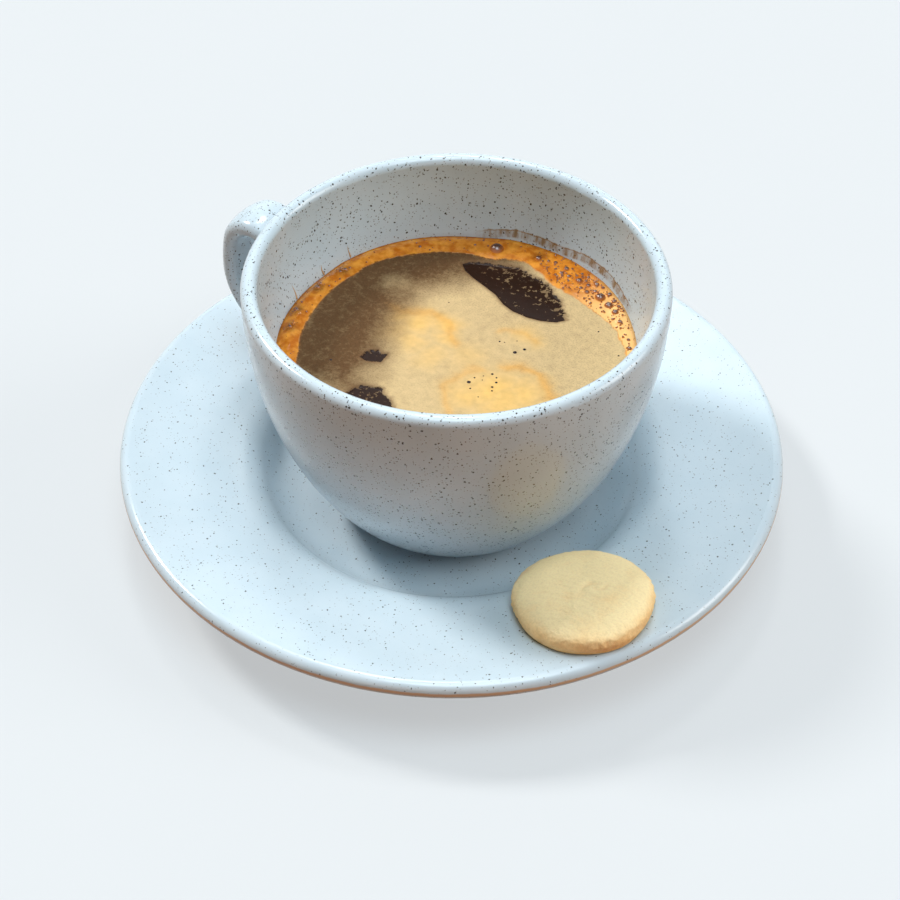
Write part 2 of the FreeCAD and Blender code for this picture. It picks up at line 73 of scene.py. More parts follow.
# Places on the drink are millimetres from the cup's axis, handle along -X.
# Outlines of the openings in the crema where the dark coffee shows.
OPENINGS = [
    [(-16.5, 26.1), (-15.2, 28.0), (-12.8, 29.2), (-9.8, 30.4), (-6.6, 32.0), (-4.0, 33.0),
     (-0.5, 32.0), (2.6, 31.9), (5.4, 31.3), (8.0, 29.2), (10.6, 28.3), (12.4, 26.0),
     (15.6, 22.7), (14.3, 20.9), (11.0, 19.2), (7.7, 18.4), (3.6, 18.3), (0.2, 19.2),
     (-3.0, 21.0), (-7.1, 22.2), (-11.2, 23.2), (-14.4, 24.4)],
    [(-15.8, -16.0), (-15.9, -14.1), (-15.1, -12.5), (-14.1, -11.7), (-12.8, -12.0),
     (-11.3, -11.5), (-11.0, -13.1), (-10.9, -14.7), (-12.3, -15.4), (-13.8, -16.2)],
    [(-10.8, -27.9), (-10.6, -25.5), (-9.6, -23.5), (-7.3, -22.5), (-5.0, -22.0), (-3.9, -23.1),
     (-1.6, -23.8), (0.9, -25.8), (1.2, -28.2), (-3.4, -29.3), (-7.8, -29.2)],
]
# Foam that is thinner and darker on the handle's side and along the back; it also paints the shadow that
# the cup's wall casts on the foam there.
DARK_FOAM_AND_WALL_SHADOW = [
    (-2.0, 34.0), (-8.0, 26.0), (-11.4, 19.3), (-16.5, 11.6), (-16.0, 3.0), (-13.0, -6.2),
    (-9.5, -13.0), (-7.0, -19.5), (-5.5, -30.0), (-34.0, -32.0), (-46.0, 0.0), (-34.0, 32.0),
    (-10.0, 44.0),
]
# Golden drifts: strength, x, y, size.
GOLD_SPOTS = [
    (0.9, -12.5, 2.1, 4.5), (0.75, -17.0, 1.6, 3.5), (0.9, -7.0, 4.5, 3.5), (0.7, -3.4, 0.5, 3.5),
    (0.6, -9.8, -4.5, 4.0), (0.45, -3.0, -6.5, 4.0), (1.0, 15.5, -7.5, 6.5), (0.9, 20.0, -10.0, 6.5),
    (0.8, 12.5, -12.0, 5.0), (0.9, 22.0, -5.0, 5.5), (0.55, 10.2, 12.1, 3.2), (0.5, 14.0, 12.4, 2.4),
    (0.4, 4.0, -2.0, 5.0), (0.5, -14.0, -2.5, 5.0),
]
# Spots where the foam is browner, or paler below zero: strength, x, y, size. Both paler spots are painted
# light: a painted sheen where the back lamp mirrors in the foam, and a painted patch of light between the
# two small openings.
BROWN_AND_LIT_SPOTS = [(0.35, -23.6, -13.2, 2.4), (-0.42, -25.6, 10.5, 3.2), (-0.25, -11.0, -20.3, 3.2)]
# Amber curls: strength, width, line.
AMBER_LINES = [
    (0.7, 1.5, [(13.1, 1.1), (17.0, 2.9), (20.9, 2.7), (25.2, 0.0), (29.5, -3.2)]),
    (0.45, 1.2, [(12.7, -19.9), (8.3, -16.0), (6.9, -12.2), (6.7, -6.4), (9.2, -2.7)]),
    (0.55, 1.4, [(-22.0, 3.1), (-16.7, 4.2), (-11.6, 6.4), (-7.6, 5.5), (-4.1, 2.9), (-0.2, 0.6)]),
    (0.4, 1.0, [(5.5, 11.3), (10.2, 12.1), (14.4, 12.5)]),
]
# Froth ring by direction in degrees: radius of its inner edge, then its height at the wall
# over the drink's level.
FROTH_EDGE = [
    (-150, 36.2), (-120, 37.4), (-60, 38.2), (0, 39.4), (29, 39.6), (42, 38.2), (46, 37.2),
    (57, 34.9), (64, 33.9), (72, 32.6), (80, 32.4), (89, 33.9), (97, 35.4), (104, 34.4),
    (110, 33.3), (122, 34.4), (137, 35.6), (156, 36.4), (167, 35.9), (180, 35.9),
]
FROTH_TOP = [
    (-150, -0.6), (-110, -0.2), (0, -0.1), (43, 0.0), (58, 0.5), (68, 0.6), (80, 0.5), (103, 0.3),
    (118, -0.35), (141, -0.2), (153, -0.25), (165, -0.5), (175, -0.95), (185, -0.95),
]
# Dark pools in the froth where small bubbles gather.
FROTH_POOLS = [(-39.0, -2.1), (-38.0, -11.5), (-35.4, -17.4), (-38.0, 6.8), (-2.4, 38.6)]
# Larger bubbles: x, y, radius.
BUBBLES = [
    (-12.6, 35.3, 1.9), (-17.7, 33.3, 0.4), (-17.1, 36.1, 0.35), (-2.1, 38.0, 0.9),
    (0.4, 38.6, 0.5), (2.2, 39.0, 0.6), (5.6, 38.6, 0.75), (5.6, 36.4, 0.6), (7.7, 36.4, 0.6),
    (10.7, 36.4, 0.95), (13.4, 36.2, 0.7), (12.5, 34.3, 0.6), (14.5, 33.9, 0.7), (14.9, 37.6, 0.7),
    (16.0, 35.3, 0.6), (18.2, 34.0, 1.35), (21.4, 32.7, 1.15), (24.0, 31.4, 0.9), (19.4, 36.2, 0.7),
    (16.8, 37.4, 0.55), (26.8, 29.1, 0.65), (31.7, 24.9, 0.5), (33.5, 22.5, 0.6), (9.1, 37.8, 0.45),
    (9.9, 39.0, 0.5), (6.9, 39.3, 0.4), (11.8, 38.8, 0.55), (1.5, 36.4, 0.35), (23.6, 33.7, 0.55),
    (21.6, 34.9, 0.5), (12.0, 37.4, 0.45), (8.6, 34.9, 0.4), (3.6, 37.0, 0.4), (20.3, 30.9, 0.4),
    (-37.8, 7.2, 0.5), (-38.3, 5.8, 0.45), (-37.4, 8.4, 0.35), (-28.3, 24.9, 0.5),
    (-39.0, -2.1, 0.6), (-38.0, -11.5, 0.5), (-35.4, -17.4, 0.6), (-39.4, -0.6, 0.35),
]
# Pinholes in the crema: x, y, radius.
PINHOLES = [
    (9.7, -8.7, 0.48), (9.9, -6.7, 0.24), (11.8, -6.3, 0.16), (12.5, -3.3, 0.32),
    (14.0, -3.8, 0.24), (14.9, -5.2, 0.32), (15.0, -7.0, 0.32), (15.7, -8.1, 0.24),
    (14.3, -11.6, 0.16), (11.2, -10.3, 0.24), (12.5, 6.0, 0.48), (13.7, 8.2, 0.4),
    (7.4, 7.2, 0.24), (8.5, 7.6, 0.16), (10.6, 9.7, 0.16), (24.3, 23.6, 0.24),
    (32.7, 19.0, 0.24), (-20.7, -20.8, 0.32), (11.2, -5.0, 0.16), (-10.5, 12.0, 0.16),
]
# Runs of dried coffee on the inner wall: direction in degrees, top over the drink, length, width.
DRIPS = [(163.0, 3.1, 3.5, 0.6), (175.0, 2.0, 2.9, 0.75), (190.0, 3.4, 4.4, 0.7)]
# Tide line of dried coffee between two directions in degrees: share of the way, height over the
# drink.
TIDE_FROM, TIDE_TO = 50, 120
TIDE = [(0.0, 2.4), (0.1, 2.7), (0.24, 3.7), (0.39, 3.8), (0.54, 2.7), (0.67, 2.9), (0.79, 3.0),
        (1.0, 1.1)]
# The biscuit's outline is read in this many directions, and its surface stays this far inside it.
BISCUIT_SIDES, BISCUIT_SHY = 48, 0.12 * MM


def linear(hex_colour):
    """Linear RGBA of an sRGB hex colour."""
    parts = [int(hex_colour[k:k + 2], 16) / 255 for k in (1, 3, 5)]
    return [p / 12.92 if p <= 0.04045 else ((p + 0.055) / 1.055) ** 2.4 for p in parts] + [1.0]


def feed(tree, node, inputs):
    """Set a node's inputs to values, or link them to sockets or to the output of other nodes."""
    for name, value in inputs.items():
        if isinstance(value, bpy.types.Node):
            value = next(socket for socket in value.outputs if socket.enabled)
        if isinstance(value, bpy.types.NodeSocket):
            tree.links.new(value, node.inputs[name])
        else:
            node.inputs[name].default_value = value


def add(tree, kind, inputs=None, stops=(), **settings):
    """Add a node with its properties and inputs: a shader node unless its kind says otherwise."""
    made = tree.nodes.new(kind if "Node" in kind else "ShaderNode" + kind)
    for name, value in settings.items():
        setattr(made, name, value)
    for place, (position, colour) in enumerate(stops):
        ramp = made.color_ramp.elements
        stop = ramp[place] if place < 2 else ramp.new(position)
        stop.position = position
        stop.color = colour
    feed(tree, made, inputs or {})
    return made


def new_material(name):
    """Material with only its shader joined up; also gives the places on the object."""
    material = bpy.data.materials.new(name)
    material.use_nodes = True
    tree = material.node_tree
    tree.nodes.clear()
    shader = add(tree, "BsdfPrincipled")
    add(tree, "OutputMaterial", {"Surface": shader})
    return material, tree, shader, add(tree, "TexCoord").outputs["Object"]


def new_piece(name, mesh, material, body="root", replaces=None):
    """Put a finished mesh in the scene as a piece of the object."""
    piece = bpy.data.objects.new(name, mesh)
    bpy.context.scene.collection.objects.link(piece)
    if material:
        mesh.materials.clear()
        mesh.materials.append(material)
    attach(piece, body)
    if replaces:
        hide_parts(replaces)
    return piece


def dress(node, material):
    """Give a CAD node its material."""
    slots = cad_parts[node].data.materials
    slots.clear()
    slots.append(material)


def grid_mesh(name, points, faces):
    """Smooth mesh from points and faces, with its faces pointing outwards."""
    mesh = bpy.data.meshes.new(name)
    mesh.from_pydata([tuple(p) for p in points], [], faces)
    work = bmesh.new()
    work.from_mesh(mesh)
    bmesh.ops.recalc_face_normals(work, faces=work.faces)
    work.to_mesh(mesh)
    work.free()
    mesh.shade_smooth()
    return mesh


def ring_faces(rings, around):
    """Faces from ring to ring, each given as its first point and its count; one point is a tip."""
    faces = []
    for (low, many), (high, more) in zip(rings, rings[1:]):
        for j in range(around):
            after = (j + 1) % around
            corners = (low + j % many, low + after % many, high + after % more, high + j % more)
            faces.append(tuple(dict.fromkeys(corners)))
    return faces


def mark(mesh, label, values):
    """Give each point of a mesh a value that a material or a node tree reads."""
    layer = mesh.attributes.new(label, "FLOAT", "POINT")
    layer.data.foreach_set("value", np.array(values, np.float32))


def bake_nodes(piece, tree, values):
    """Run a Geometry Nodes tree on a piece and keep its result as a plain mesh."""
    modifier = piece.modifiers.new("Nodes", "NODES")
    modifier.node_group = tree
    for item in tree.interface.items_tree:
        if item.item_type == "SOCKET" and item.in_out == "INPUT" and item.name in values:
            modifier[item.identifier] = values[item.name]
    bpy.context.view_layer.update()
    graph = bpy.context.evaluated_depsgraph_get()
    mesh = bpy.data.meshes.new_from_object(piece.evaluated_get(graph), depsgraph=graph)
    piece.modifiers.clear()
    return mesh


def wall_radius(height):
    """Radius of the bowl's inside at a height, from its elliptical section."""
    cup = bpy.context.scene.coffee_cup
    middle = CUP_HIGH.z - cup.wall / 2
    share = min(1.0, max(0.0, (middle - height) / cup.inside_depth))
    return (RIM_RADIUS - cup.wall) * math.sqrt(1 - share ** 2)


def noise_at(x, y, z, scale, octaves=4):
    """Fractal noise, about -1 to 1, at a place in metres; scale is its wavelength."""
    return noise.fractal(Vector((x, y, z)) / scale, 0.9, 2.0, octaves)


def step(low, high, value):
    """Smooth step from 0 at low to 1 at high."""
    share = np.clip((value - low) / (high - low), 0.0, 1.0)
    return share * share * (3 - 2 * share)


# ---------------------------------------------------------------- glaze

def speck_layer(tree, place, colour, speck, spacing, size):
    """Mix specks of one colour over a colour: each cell of the pattern may hold one speck."""
    cells = add(tree, "TexVoronoi", {"Vector": place, "Scale": 1 / spacing})
    chance = add(tree, "SeparateColor", {"Color": cells.outputs["Color"]})
    # Most specks are small and a few are large; the smallest chances give none.
    skewed = add(tree, "Math", {0: chance.outputs["Red"], 1: 2.0}, operation="POWER")
    reach = add(tree, "MapRange", {"Value": skewed, "From Min": 0.05, "To Max": size / spacing})
    inside = add(tree, "Math", {0: reach, 1: cells.outputs["Distance"]}, operation="SUBTRACT")
    sharpness = 12.0
    mask = add(tree, "Math", {0: inside, 1: sharpness}, operation="MULTIPLY", use_clamp=True)
    return add(tree, "Mix", {0: mask, 6: colour, 7: speck}, data_type="RGBA"), mask


def glaze_material(name, look, spacing, size):
    """Stoneware under a pale blue-grey glossy glaze, with iron specks burnt through it."""
    material, tree, shader, place = new_material(name)
    # Slow drift of the glaze's tint, about 9 mm across.
    drift = add(tree, "TexNoise", {"Vector": place, "Scale": 1 / (9 * MM), "Detail": 3.0})
    colour = add(tree, "Mix", {0: drift, 6: look.glaze_light, 7: look.glaze_deep}, data_type="RGBA")
    # Specks are ragged, so their pattern is bent by about 0.15 mm.
    ragged = add(tree, "TexNoise", {"Vector": place, "Scale": 1 / (0.35 * MM), "Detail": 2.0})
    centred = add(tree, "VectorMath", {0: ragged.outputs["Color"], 1: (0.5, 0.5, 0.5)},
                  operation="SUBTRACT")
    shifted = add(tree, "VectorMath", {0: centred, 1: (0.5 * MM,) * 3, 2: place},
                  operation="MULTIPLY_ADD")
    # Colour of each layer of specks, with its spacing and size as shares of those asked for.
    for speck, apart, wide in ((look.speck_white, 1.0, 0.85), (look.speck_brown, 0.66, 0.62),
                               (look.speck_dark, 1.0, 1.0)):
        colour, mask = speck_layer(tree, shifted, colour, speck, spacing * apart, size * wide)
    # Gentle orange peel of the fired surface, and dark specks that stand a hair proud.
    peel = add(tree, "TexNoise", {"Vector": place, "Scale": 1 / (2.6 * MM), "Detail": 2.0})
    raised = add(tree, "Math", {0: mask, 1: 0.25, 2: peel}, operation="MULTIPLY_ADD")
    bump = add(tree, "Bump", {"Height": raised, "Strength": 0.22, "Distance": 0.12 * MM})
    rough = add(tree, "MapRange", {"Value": drift, "To Min": 0.14, "To Max": 0.24})
    feed(tree, shader, {"IOR": 1.52, "Roughness": rough, "Normal": bump, "Base Color": colour})
    return material, tree, shader, place, colour


def band(tree, value, low, high, soft):
    """Mask that is 1 between two values, with soft ends."""
    rise, fall = [
        add(tree, "MapRange", {"Value": value, "From Min": end - soft, "From Max": end + soft,
            "To Min": before, "To Max": 1.0 - before}, interpolation_type="SMOOTHSTEP")
        for end, before in ((low, 0.0), (high, 1.0))]
    return add(tree, "Math", {0: rise, 1: fall}, operation="MULTIPLY")


def split_place(tree, place, axis):
    """X, Y and Z of a place from an upright axis, and its distance from that axis."""
    moved = add(tree, "VectorMath", {0: place, 1: (axis.x, axis.y, 0.0)}, operation="SUBTRACT")
    parts = add(tree, "SeparateXYZ", {"Vector": moved}).outputs
    flat = add(tree, "CombineXYZ", {"X": parts["X"], "Y": parts["Y"]})
    return parts, add(tree, "VectorMath", {0: flat}, operation="LENGTH")


def saucer_glaze(look):
    """The glaze with bare clay in a thin line under the lip and on the foot ring."""
    material, tree, shader, place, colour = glaze_material(
        "Speckled stoneware glaze, saucer", look, look.speck_spacing * MM * 1.15, 0.25 * MM)
    parts, reach = split_place(tree, place, SAUCER_AXIS)
    wander = add(tree, "TexNoise", {"Vector": place, "Scale": 1 / (6 * MM)})
    height = add(tree, "Math", {0: wander, 1: -0.5 * MM, 2: parts["Z"]}, operation="MULTIPLY_ADD")
    line_top, line_width, lip_width = SAUCER_HIGH.z - 2.0 * MM, 0.9 * MM, 3.4 * MM
    lip = band(tree, height, line_top - line_width, line_top, 0.14 * MM)
    outer = add(tree, "Math", {0: reach, 1: SAUCER_HIGH.x - lip_width}, operation="GREATER_THAN")
    line = add(tree, "Math", {0: lip, 1: outer}, operation="MULTIPLY")
    foot = band(tree, height, -1.0, 0.35 * MM, 0.1 * MM)
    bare = add(tree, "Math", {0: line, 1: foot}, operation="MAXIMUM")
    mixed = add(tree, "Mix", {0: bare, 6: colour, 7: look.clay}, data_type="RGBA")
    feed(tree, shader, {"Base Color": mixed})
    return material


def cup_glaze(look):
    """The glaze, with a dried tide line of coffee on the inner wall above the drink."""
    material, tree, shader, place, colour = glaze_material(
        "Speckled stoneware glaze, cup", look, look.speck_spacing * MM, 0.31 * MM)
    parts, reach = split_place(tree, place, CUP_AXIS)
    turn = add(tree, "Math", {0: parts["Y"], 1: parts["X"]}, operation="ARCTAN2")
    inner = add(tree, "Math", {0: reach, 1: RIM_RADIUS - 3.6 * MM}, operation="LESS_THAN")
    # A tide line of dried coffee rises and falls round the back; upright streaks hang under it.
    # Its height is held by a ramp, so the heights are shares of the tallest that it can hold.
    start, end, tallest = math.radians(TIDE_FROM), math.radians(TIDE_TO), 5.0
    share = add(tree, "MapRange", {"Value": turn, "From Min": start, "From Max": end})
    tide = add(tree, "ValToRGB", {"Fac": share},
               stops=[(spot, (height / tallest,) * 3 + (1,)) for spot, height in TIDE])
    around = add(tree, "TexNoise", {"Vector": place, "Scale": 1 / (1.6 * MM), "Detail": 4.0})
    ragged = add(tree, "Math", {0: around, 1: 0.9 * MM, 2: -0.45 * MM}, operation="MULTIPLY_ADD")
    line = add(tree, "Math", {0: tide, 1: tallest * MM, 2: ragged}, operation="MULTIPLY_ADD")
    height = add(tree, "Math", {0: parts["Z"], 1: LEVEL}, operation="SUBTRACT")
    below = add(tree, "Math", {0: line, 1: height}, operation="SUBTRACT")
    upright = add(tree, "VectorMath", {0: place, 1: (1, 1, 0.12)}, operation="MULTIPLY")
    streak = add(tree, "TexNoise", {"Vector": upright, "Scale": 1 / (1.3 * MM), "Detail": 4.0,
                 "Roughness": 0.6})
    streaky = add(tree, "MapRange", {"Value": streak, "From Min": 0.42, "From Max": 0.62,
                  "To Min": 0.2, "To Max": 0.9})
    broken = add(tree, "MapRange", {"Value": streak, "From Min": 0.34, "From Max": 0.5,
                 "To Min": 0.45, "To Max": 0.95})
    film = band(tree, below, 0.0, 2.0 * MM, 0.3 * MM)
    edge = band(tree, below, 0.0, 0.35 * MM, 0.12 * MM)
    filmed = add(tree, "Math", {0: film, 1: streaky}, operation="MULTIPLY")
    lined = add(tree, "Math", {0: edge, 1: broken}, operation="MULTIPLY")
    stain = add(tree, "Math", {0: filmed, 1: lined}, operation="MAXIMUM")
    for mask in (band(tree, turn, math.radians(52), math.radians(116), math.radians(4)), inner):
        stain = add(tree, "Math", {0: stain, 1: mask}, operation="MULTIPLY")
    brew = add(tree, "Mix", {0: streak, 6: look.stain_light, 7: look.stain}, data_type="RGBA")
    mixed = add(tree, "Mix", {0: stain, 6: colour, 7: brew}, data_type="RGBA")
    feed(tree, shader, {"Base Color": mixed})
    return material


# ---------------------------------------------------------------- drink

def turned_mesh(name, profile, around):
    """Solid turned round the cup's axis from (radius, height) pairs; radius 0 is a tip."""
    points, rings = [], []
    for radius, height in profile:
        rings.append((len(points), around if radius else 1))
        for j in range(rings[-1][1]):
            angle = math.tau * j / around
            points.append(CUP_AXIS + Vector((radius * math.cos(angle), radius * math.sin(angle), height)))
    return grid_mesh(name, points, ring_faces(rings, around))


def pour_profile(top):
    """Section of the coffee: the bowl's inside up to the drink, lower under the froth."""
    cup = bpy.context.scene.coffee_cup
    bottom = CUP_HIGH.z - cup.wall / 2 - cup.inside_depth
    edge, steps = top - 0.9 * MM, 40
    profile = [(0.0, bottom)]
    for k in range(1, steps + 1):
        height = bottom + (edge - bottom) * (1 - math.cos(math.pi / 2 * k / steps))
        profile.append((wall_radius(height) + POUR_REACH, height))
    widest = profile[-1][0]
    return profile + [(widest * share, top) for share in (0.92, 0.6, 0.3, 0.0)]


def table_at(table, direction):
    """Value for a direction in degrees from a table round the circle, smoothly joined."""
    spots = [(spot + turn, value) for turn in (-360, 0, 360) for spot, value in table]
    for (low, first), (high, second) in zip(spots, spots[1:]):
        if low <= direction <= high:
            return first + (second - first) * float(step(low, high, direction))
    return table[0][1]


def line_gap(x, y, line):
    """Distances of places to an open line of points."""
    nearest = np.full(x.shape, np.inf)
    for (ax, ay), (bx, by) in zip(line, line[1:]):
        share = ((x - ax) * (bx - ax) + (y - ay) * (by - ay)) / ((bx - ax) ** 2 + (by - ay) ** 2)
        share = np.clip(share, 0, 1)
        gap = np.hypot(x - ax - share * (bx - ax), y - ay - share * (by - ay))
        nearest = np.minimum(nearest, gap)
    return nearest


def inside_depth(x, y, outline):
    """Distances of places to a closed outline, positive inside it."""
    closed = outline + outline[:1]
    crossings = np.zeros(x.shape, int)
    for (ax, ay), (bx, by) in zip(closed, closed[1:]):
        if ay != by:
            straddles = (ay > y) != (by > y)
            crossings += straddles & (x < ax + (y - ay) * (bx - ax) / (by - ay))
    return np.where(crossings % 2 == 1, 1, -1) * line_gap(x, y, closed)


def noise_field(x, y, wavelength, octaves, shift=0.0):
    """Fractal noise at places in millimetres."""
    return np.array([noise.fractal(Vector((a / wavelength + shift, b / wavelength, 3.1)), 0.9, 2.0,
                                   octaves) for a, b in zip(x, y)])


def blob(x, y, middle_x, middle_y, size):
    """Soft round patch, 1 at its middle."""
    return np.exp(-((x - middle_x) ** 2 + (y - middle_y) ** 2) / (size * size))


def crema_fields(x, y):
    """What the foam is like at places in millimetres from the cup's axis."""
    radius, direction = np.hypot(x, y), np.degrees(np.arctan2(y, x))
    wide = noise_field(x, y, 8.0, 3)
    middle = noise_field(x, y, 2.6, 3, 5.0)
    # The pattern's places wander, so its patches have flowing edges.
    u, v = x + 1.8 * wide + 0.5 * middle, y + 1.8 * noise_field(x, y, 8.0, 3, 11.0)
    edge = np.array([table_at(FROTH_EDGE, d) for d in direction])
    froth = radius - edge - 0.4 * wide - 0.15 * middle
    opening = np.max([inside_depth(x, y, outline) for outline in OPENINGS], axis=0)
    # The large opening, at the back, is torn along its far side and clean along its near one.
    ragged = np.where(y > 5, 0.1 + 0.75 * step(23, 29, y + 0.25 * x), 0.6)
    gold = np.max([strength * blob(u, v, *spot) for strength, *spot in GOLD_SPOTS], axis=0)
    amber = np.max([strength * np.exp(-(line_gap(u, v, line) / width) ** 2)
                    for strength, width, line in AMBER_LINES], axis=0)
    # The dark foam also paints the shadow that the cup's wall casts on the foam on the handle's side.
    dark = inside_depth(u, v, DARK_FOAM_AND_WALL_SHADOW)
    brown = 0.68 * step(-4.6, 4.6, dark) + 0.32 * step(1.5, 9.0, dark)
    # The paler spots are painted light: a painted sheen of the back lamp's reflection and a painted patch
    # of light.
    for strength, *spot in BROWN_AND_LIT_SPOTS:
        brown = brown + strength * blob(u, v, *spot)
    brown = brown + 0.1 * middle + 0.08 * wide
    # The beige foam on the right and under the large opening is speckled too.
    grey = np.maximum(step(16, 24, u * 0.82 + v * 0.57), 0.8 * step(9, 15, v))
    grain = np.clip(0.25 + 0.7 * np.clip(brown, 0, 1) + 0.2 * grey - 0.5 * gold, 0.05, 1)
    # In the froth these fields mark its dark pools, its dark line at the wall and its golden side, which
    # is paler bubbly froth lightened further as painted light where the window's light falls.
    frothy, at_wall = froth > 0.3, radius - wall_radius(LEVEL) / MM
    pools = np.max([blob(x, y, *spot, 1.7) for spot in FROTH_POOLS], axis=0)
    brown = np.where(frothy, pools, brown)
    amber = np.where(frothy, step(-1.1, 0.0, at_wall), amber)
    gold = np.where(frothy, step(5, 30, direction) * step(76, 52, direction), gold)
    return {"froth": froth, "opening": opening, "ragged": ragged, "gold": np.clip(gold, 0, 1),
            "amber": np.clip(amber, 0, 1), "brown": np.clip(brown, 0, 1), "grain": grain,
            "wide": wide, "middle": middle}


def crema_mesh(name):
    """Sheet of foam over the whole drink: sunken openings and a froth ring up the wall."""
    look = bpy.context.scene.coffee_drink
    edge, climb_width, opening_depth = (wall_radius(LEVEL) + FOAM_REACH) / MM, 3.2, 0.35
    radii = edge * (np.arange(1, FOAM_RINGS + 1) / FOAM_RINGS) ** 0.8
    angles = math.tau * np.arange(FOAM_AROUND) / FOAM_AROUND
    x = np.concatenate([[0.0], np.outer(radii, np.cos(angles)).ravel()])
    y = np.concatenate([[0.0], np.outer(radii, np.sin(angles)).ravel()])
    fields = crema_fields(x, y)
    radius, direction = np.hypot(x, y), np.degrees(np.arctan2(y, x))
    froth = step(-0.5, 2.6, fields["froth"])
    at_wall = np.array([table_at(FROTH_TOP, d) for d in direction])
    height = 0.04 * fields["wide"] - opening_depth * step(-0.35, 0.25, fields["opening"]) * (1 - froth)
    bulge = look.froth_height / MM * (1 + 0.45 * fields["middle"])
    climb = step(0.0, 1.0, (radius - (edge - climb_width)) / climb_width)
    height = height + froth * (bulge * (1 - climb) + at_wall * climb)
    # At the wall the sheet's rim follows the bowl, so no gap opens where it climbs or dips.
    push = np.array([(wall_radius(LEVEL + h * MM) + FOAM_REACH) / MM for h in at_wall]) - edge
    share = 1 + push * climb / np.maximum(radius, 1.0)
    # The underside is a plain disc inside the coffee.
    under = LEVEL - 2 * MM
    reach = wall_radius(under) / MM
    x = np.concatenate([x * share, reach * np.cos(angles), [0.0]])
    y = np.concatenate([y * share, reach * np.sin(angles), [0.0]])
    z = np.concatenate([LEVEL + height * MM, np.full(FOAM_AROUND + 1, under)])
    points = np.stack([CUP_AXIS.x + x * MM, CUP_AXIS.y + y * MM, z], 1).tolist()
    rings = [(1 + k * FOAM_AROUND, FOAM_AROUND) for k in range(FOAM_RINGS + 1)]
    rings = [(0, 1)] + rings + [(len(points) - 1, 1)]
    mesh = grid_mesh(name, points, ring_faces(rings, FOAM_AROUND))
    for label in FIELDS:
        below = np.full(FOAM_AROUND + 1, 5.0 if label == "froth" else 0.0)
        mark(mesh, label, np.concatenate([fields[label], below]))
    return mesh


def coffee_material(name, look):
    """Black coffee: a still dark liquid, so it mirrors the light and shows little of itself."""
    material, tree, shader, place = new_material(name)
    cloud = add(tree, "TexNoise", {"Vector": place, "Scale": 1 / (2.4 * MM), "Detail": 4.0})
    colour = add(tree, "Mix", {0: cloud, 6: look.coffee_dark, 7: look.coffee_light}, data_type="RGBA")
    feed(tree, shader, {"IOR": 1.34, "Roughness": 0.08, "Base Color": colour})
    return material


